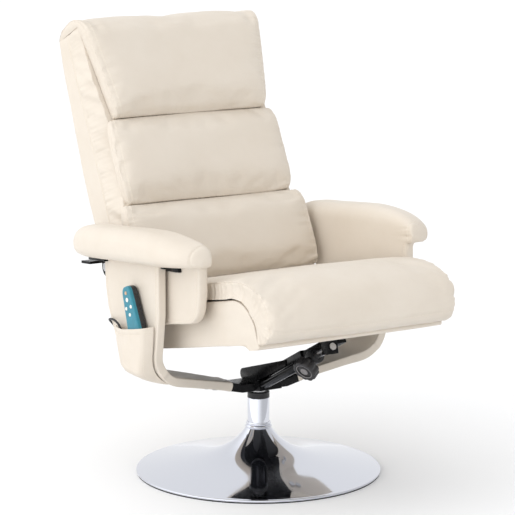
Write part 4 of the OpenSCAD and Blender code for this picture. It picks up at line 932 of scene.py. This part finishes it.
def make_back():
    up = np.array([0, 0.15, 0.4, 0.52, 0.67, 0.8, 0.9, 1]) * 615
    deep = SHELL_SEAM + 88 * np.array([0.84, 0.92, 1, 0.98, 0.88, 0.78, 0.76, 0.62])
    z = np.linspace(0, BACK_H, 130)
    y = np.interp(z, up, deep)
    evened(y, 30)
    draw = 9 + 25 * np.clip(1 - np.abs(z - 340) / 190, 0, 1) + 6 * np.clip(1 - z / 190, 0, 1)
    outer, inner = [], []
    for x in across(BACK_HALF, 65):
        t = max(0, (abs(x) - 224) / 16)
        pull = 15 * (1 - math.sqrt(max(0, 1 - t * t)))
        outer.append(at_x(x, np.column_stack([y - pull, z])))
        inner.append(np.column_stack([x * (1 - draw / BACK_HALF), np.full(len(z), 0.5), z]))
    obj, _, ladders = band("back_cover", outer, inner, BACK, 30)
    spot = local(obj, BACK)
    rear = np.clip((spot[:, 1] - SHELL_SEAM) / 30, 0, 1)
    drawn = np.interp(spot[:, 2], z, draw)
    full = BACK_HALF - drawn * np.clip(1 - spot[:, 1] / SHELL_SEAM, 0, 1) ** 1.4
    ends = np.concatenate([g[1:-1, 1:-1].ravel() for g in ladders])
    spot[ends, 0] = np.sign(spot[ends, 0]) * (full + 1.0 * rear)[ends]
    set_coords(obj, placed(spot, BACK))
    relaxed(obj, 3)
    subdivided(obj)
    spot = local(obj, BACK)
    rear_line = resample(np.column_stack([y - 5, z]), 100)
    seams, gusset = [], 0
    for side in (-1, 1):
        look = looks(obj, (side, 0, 0)) * np.clip((SHELL_SEAM - spot[:, 1]) / 4, 0, 1)
        gusset = gusset + look
        line = placed([(side * BACK_HALF, SHELL_SEAM, h) for h in (2, BACK_H - 2)], BACK)
        seams.append((line, 1.8, 2.6, 2.6, 0.030, look, 72 + side))
        edge = placed(at_x(side * 0.975 * BACK_HALF, rear_line), BACK)
        seams.append((edge, 1.0, 2.4, 0.3, 0.010, 1, 75 + side))
    slanted = BACK @ Matrix.Rotation(math.radians(38), 4, "X")
    worked(obj, seams, [(BACK, (160, 90, 150), 1.4, 8, 1), (BACK, (60, 22, 46), 0.6, 9, 1),
                        (slanted, (200, 60, 17), 4.6, 10, gusset)])
    upholstered(obj, "back", 0.8, "back_shell", "back_core")
    lines = [placed([(x, SHELL_SEAM + 4, h) for h in (4, 600)], BACK) for x in (-BACK_HALF, BACK_HALF)]
    stitches("back_cover_thread", obj, lines, "back")


make_back()


# Seat box
def make_seat_box():
    outline = np.vstack([[[130, 1], [130, 97], [-300, 97]], arc(-300, 4, 85, 93, 90, 180, 24)[1:],
                         [[-388.5, -1], [-391, -7], [-389, -11.5], [-380, -12], [-346, -12]]])
    under = np.array([[119, 5], [-326, 5], [-334, -2], [-342, -8]])
    outer, inner = [], []
    for x in across(238, 49):
        outer.append(at_x(x, resample(outline, 130)))
        base = resample(under, 130)
        base[:, 1] -= 5 * np.clip((abs(x) - 226) / 4, 0, 1) * (base[:, 1] > 3)
        inner.append(at_x(x, base))
    obj = band("seat_box", outer, inner, SEAT, 18, dome=1.2)[0]
    relaxed(obj, 6)
    subdivided(obj)
    sides = looks(obj, (-1, 0, 0)) + looks(obj, (1, 0, 0))
    worked(obj, [], [(SEAT, (140, 70, 50), 1.2, 14, 1), (SEAT, (60, 44, 20), 1.1, 15, sides)])
    upholstered(obj, "seat", 0.9, "seat_base")


make_seat_box()


# Side frames
BAR_RISE, BEND_X, BEND_R, FRAME_HALF = math.radians(13), 225, 85, 10


def run_z(x):
    return 196 + np.maximum(0, np.abs(x) - 60) * math.tan(BAR_RISE)


BEND_Z = run_z(BEND_X) + BEND_R / math.cos(BAR_RISE)


def side_path():
    """Middle line of a wrapped side frame from its cuff on the crossbar round the bend."""
    low = np.linspace(88, BEND_X + BEND_R * math.sin(BAR_RISE), 34)[:-1]
    flat = np.column_stack([low, run_z(low) + FRAME_HALF / math.cos(BAR_RISE)])
    turn = np.radians(np.linspace(math.degrees(BAR_RISE) - 90, 0, 30))
    reach = BEND_R - FRAME_HALF
    return np.vstack([flat, np.column_stack([BEND_X + reach * np.cos(turn), BEND_Z + reach * np.sin(turn)])])


def side_edges(x, z):
    """Front and rear edge of a side frame where its middle line is at x and z."""
    reach, grow = np.array([0.21, 0.53, 0.79, 0.97]), np.array([0.17, 0.5, 0.8, 0.97])
    plan = [88, 104, *mix(100, 290, reach), 296, 400]
    front = np.interp(x, plan, [31, 31, *mix(30, 68, grow), 68, 68])
    low = np.interp(x, plan, [31, 31, *mix(30, 90, grow), 90, 90])
    rear = np.interp(z, mix(262, 491, np.array([-0.4, 0, 0.2, 0.36, 0.57, 0.77, 1])),
                     mix(90, 158, np.array([0, 0, 0.09, 0.4, 0.78, 0.94, 1])))
    rise = np.interp(z, [300, 400], [68, 86])
    return (-rise, rear) if x > 280 else (-front, low)


def make_side(name, node_name, matrix, seed):
    path = side_path()
    rise = np.linspace(0, 1, 46)[1:]
    edge = np.array([[0, 0], [0, 3.5], [0, 7], [0.5, 8.8], [2.0, 9.9], [4.6, 10], [6.6, 9.7], [7.8, 8.7],
                     [9.0, 9.7], [11.5, 10.3]])
    spread = np.linspace(0, 1, 28)[1:-1]
    outer, inner = [], []
    for s in range(len(path) + len(rise)):
        lift = None
        if s < len(path):
            x, z = path[s]
            d = path[min(len(path) - 1, s + 1)] - path[max(0, s - 1)]
            d = d / np.linalg.norm(d)
            out = np.array([d[1], -d[0]])
        else:
            x, out, lift = 300.0, np.array([1.0, 0.0]), rise[s - len(path)]
            z = mix(BEND_Z, 500, lift)
        front, rear = side_edges(x, z)
        ys = np.concatenate([front + edge[:, 0], mix(front + 14, rear - 14, spread), rear - edge[::-1, 0]])
        ns = np.concatenate([edge[:, 1], np.full(len(spread), 10.3), edge[::-1, 1]])
        ns = ns + (0.8 if x < 100 else 0)
        for sheet, sign in ((outer, 1), (inner, -1)):
            px, pz = x + sign * ns * out[0], z + sign * ns * out[1]
            if lift is not None:
                pz = mix(BEND_Z, 516 - ys * math.tan(math.radians(5.5)) + 1, lift)
            sheet.append(np.column_stack([px, ys, pz]))
    outer, inner = np.array(outer), np.array(inner)
    obj = band(name, outer, inner, matrix, 2)[0]
    subdivided(obj)
    worked(obj, [], [(WORLD, (40, 60, 70), 0.9, seed, 1), (WORLD, (22, 26, 30), 0.3, seed + 1, 1)])
    upholstered(obj, "swivel", 1.0, node_name, angle=50)
    lines = [placed(outer[4:-1, 8] + [0, 2.6, 0], matrix), placed(outer[4:-1, -9] - [0, 2.6, 0], matrix)]
    stitches(name + "_thread", obj, lines, "swivel")


make_side("side_frame_pocket", "left_side_frame", MIRROR, 81)
make_side("side_frame_plain", "right_side_frame", WORLD, 85)


# Arms
ARM_IN, ARM_FRONT, ARM_REAR = 258, 230, 270


def roll_profile(n):
    return resample(np.vstack([[[0, 3]], arc(34, 42, 34, 34, 180, 90, 20), arc(54, 38, 38, 38, 90, 0, 20)[1:],
                               arc(66, 26, 26, 26, 0, -86, 16)[1:]]), n)


def roll_section(y, points):
    """Points of the arm roll's profile where it crosses y; its nose narrows and slopes outward."""
    gap = y + ARM_FRONT
    s = grown(0.42, max(0, 1 - (ARM_REAR - y) / 105), 2.2)
    wide = grown(0.36, max(0, 1 - gap / 150), 2)
    high = grown(0.56, max(0, 1 - gap / 170), 1.9)
    slope = 0.34 * max(0, 1 - gap / 210) ** 1.3
    x, z = mix(36.8, points[:, 0], s), mix(22.8, points[:, 1], s)
    return np.column_stack([ARM_IN + wide * x, np.full(len(points), y), high * z * (1 - slope * x / 92)])


def apron_chain():
    return np.vstack([[[-212, 14], [-212, -0.3], [-207, -64]], arc(-150, -76, 52, 52, 180, 262, 16)[1:],
                      [[mix(-150, 172, i / 4), mix(-128, -158, i / 4)] for i in range(1, 5)]])


def make_arm(name, side, matrix, seed):
    n = 46
    profile = roll_profile(n)
    flat = np.column_stack([np.linspace(0, 63, n), np.zeros(n)])
    ys = mix(-ARM_FRONT, ARM_REAR, (1 - np.cos(np.pi * np.arange(76) / 75)) / 2)
    place = ARM @ matrix
    roll = band(name, [roll_section(y, profile) for y in ys], [roll_section(y, flat) for y in ys], place,
                8, dome=4, out=(0, 1, 0))[0]
    chain = apron_chain()
    edge = resample(chain, 60)
    upper = np.column_stack([np.linspace(-206, 172, 60), np.full(60, 14.0)])
    steps = (ARM_IN + 0.3, 259.5, 264, 270, 276, 280.8, 281.8)
    shrink = (0.985, 0.995, 1, 1, 1, 0.995, 0.985)
    middle = np.array([-20, -64])
    outer = [at_x(x, middle + (edge - middle) * k) for x, k in zip(steps, shrink)]
    panel = band(name + "_panel", outer, [at_x(x, upper) for x in steps], place, 20, dome=0.4)[0]
    both = bmesh.new()
    both.from_mesh(roll.data)
    both.from_mesh(panel.data)
    both.to_mesh(roll.data)
    both.free()
    bpy.data.objects.remove(panel)
    remeshed(roll, 0.0042)
    relaxed(roll, 4)
    subdivided(roll)
    ahead = -np.array(place, float)[:3, 1]
    rim = roll_section(-ARM_FRONT + 8, roll_profile(60))
    rim[:, 1] += 5 * np.clip((rim[:, 2] - 20) / 40, 0, 1)
    cap = placed(rim, place)
    inset = resample(chain[1:], 90)
    step = (-20, -60) - inset
    inset = inset + 11 * step / np.linalg.norm(step, axis=1, keepdims=True)
    strip, strip_out = placed(at_x(ARM_IN, inset), place), placed(at_x(282, inset), place)
    look = looks(roll, ahead)
    seams = [(cap, 1.7, 2.8, 2.2, 0.020, 1 - look, seed), (cap, 0, 2.8, 0.8, 0.008, look, seed + 1),
             (strip, 1.0, 2.4, 0.5, 0.008, 1, seed + 2), (strip_out, 1.0, 2.4, 0.5, 0.008, 1, seed + 5)]
    worked(roll, seams, [(WORLD, (70, 110, 60), 1.4, seed + 3, 1),
                         (WORLD, (34, 44, 34), 0.45, seed + 4, 1)])
    upholstered(roll, "swivel", 0.8, side + "_arm_roll", side + "_arm_apron")
    stitches(name + "_thread", roll, [cap - ahead * 0.0045, strip, strip_out], "swivel")


make_arm("arm_pad_pocket", "left", MIRROR, 91)
make_arm("arm_pad_plain", "right", WORLD, 97)


RAIL_BOXES = (((266, 291), (-140, -80), (-15, 2.5)), ((288, 304), (-100, 170), (-9, 2.5)),
              ((286, 320), (140, 216), (-6, 6)))


def make_rails():
    """Steel bars under the arm rolls, slim where the side frames' covers hide them."""
    sides = ((0, 1, 3, 2), (4, 5, 7, 6), (0, 1, 5, 4), (2, 3, 7, 6), (0, 2, 6, 4), (1, 3, 7, 5))
    verts, faces = [], []
    for side in (-1, 1):
        for x, y, z in RAIL_BOXES:
            faces += [[len(verts) + i for i in face] for face in sides]
            verts += [(side * x[i], y[j], z[k]) for i, j, k in np.ndindex(2, 2, 2)]
    obj = new_object("arm_rail_bars", placed(verts, ARM), faces)
    bevelled(obj, 0.0018)
    finished(obj, "swivel", "black_steel", "arm_rails")


make_rails()


# Handset pocket
def make_pocket():
    share = [0, 0.02, 0.05, 0.1, 0.2, 0.4, 0.6, 0.78, 0.9, 0.97, 1]
    deep = [0.04, 0.6, 0.88, 0.97, 1, 1, 0.9, 0.68, 0.42, 0.2, 0.04]
    t = np.linspace(0, 1, 90)
    bulge = np.interp(t, share, deep)
    evened(bulge, 3)
    rows = 52
    up = np.linspace(0, 1, rows)
    outer, inner = [], []
    for u, b in zip(t, bulge):
        rim = mix(386, 359, u) - 5 * math.sin(math.pi * u)
        z = mix(246, rim, up)
        front = np.interp(z, [246, 330, 400], [50, 66, 74])
        rear = np.interp(z, [246, 285, 330, 365], [60, 82, 95, 98])
        y = mix(-front, rear, u)
        drop = np.clip((BEND_Z - z) / BEND_R, 0, 0.98)
        face = BEND_X + BEND_R * np.sqrt(1 - drop ** 2)
        fall = np.sin(np.clip((z - 246) / 36, 0, 1) * math.pi / 2)
        reach = 2.0 + (339.5 - face) * b * fall
        hem = 0.9 * (np.abs(up - 0.955) < 0.045)
        outer.append(np.column_stack([-face - reach - hem, y, z]))
        inner.append(np.column_stack([-face - np.maximum(-0.5, reach - 2.1 + 0.6 * (hem > 0)), y, z]))
    obj, skin, _ = band("pocket_pouch", outer, inner, WORLD, 2, out=(0, 1, 0))
    relaxed(obj, 1, pull=0.4)
    rim_line = coords(obj)[skin[:, rows - 6]]
    front_line = coords(obj)[skin[3]]
    subdivided(obj)
    worked(obj, [(rim_line, 0.8, 2.0, 0.5, 0.012, 1, 101)],
           [(WORLD, (40, 30, 70), 1.6, 102, 1), (WORLD, (40, 12, 40), 0.4, 103, 1)])
    upholstered(obj, "swivel", 0.2, "handset_pocket")
    stitches("pocket_thread", obj, [rim_line - (0, 0, 0.002), front_line], "swivel")


make_pocket()


# Floor and light
GLOWS = (((-0.93, -0.15, 0.3), -0.1, 0.7), ((0.45, -0.9, 0.15), -0.2, -0.27))
LAMPS = (("key", (-3.4, 0.6, 4.2), 2.4, 14.5), ("fill", (2.8, -3.6, 1.9), 2.0, 3),
         ("side", (-3.2, -1.7, 0.4), 2.0, 5))


def make_stage():
    floor = new_object("floor", [(-40, -40, 0), (40, -40, 0), (40, 40, 0), (-40, 40, 0)], [(0, 1, 2, 3)])
    pale = surface("floor_pale", (0.93, 0.93, 0.93), 0.9, ((3, 3), (0.92, 0.92, 0.92), (0.94, 0.94, 0.94)))
    floor.data.materials.append(pale.mat)
    world = bpy.data.worlds.new("studio")
    world.use_nodes = True
    sky = Graph(world.node_tree)
    direction = sky.node("ShaderNodeTexCoord").outputs["Generated"]
    total = None
    for place, start, change in GLOWS:
        side = sky.node("ShaderNodeVectorMath", operation="DOT_PRODUCT")
        side.inputs[1].default_value = Vector(place).normalized()
        sky.link(direction, side.inputs[0])
        glow = sky.node("ShaderNodeMapRange", interpolation_type="SMOOTHSTEP", From_Min=start, From_Max=1.0,
                        To_Min=0.0, To_Max=change)
        sky.link(side.outputs["Value"], glow.inputs["Value"])
        add = sky.node("ShaderNodeMath")
        add.inputs[1].default_value = 1.0
        sky.link(glow.outputs["Result"], add.inputs[0])
        if total:
            sky.link(total, add.inputs[1])
        total = add.outputs["Value"]
    background = world.node_tree.nodes["Background"]
    background.inputs["Color"].default_value = (0.985, 0.99, 1, 1)
    sky.link(total, background.inputs["Strength"])
    bpy.context.scene.world = world
    for name, place, size, power in LAMPS:
        light = bpy.data.lights.new(name, "AREA")
        light.shape = "DISK"
        light.size = size
        light.energy = power
        lamp = linked(name, light)
        lamp.location = place
        lamp.visible_glossy = False
        lamp.rotation_euler = (Vector((0, 0, 0.5)) - Vector(place)).to_track_quat("-Z", "Y").to_euler()
    bpy.context.scene.view_settings.view_transform = "Standard"


make_stage()
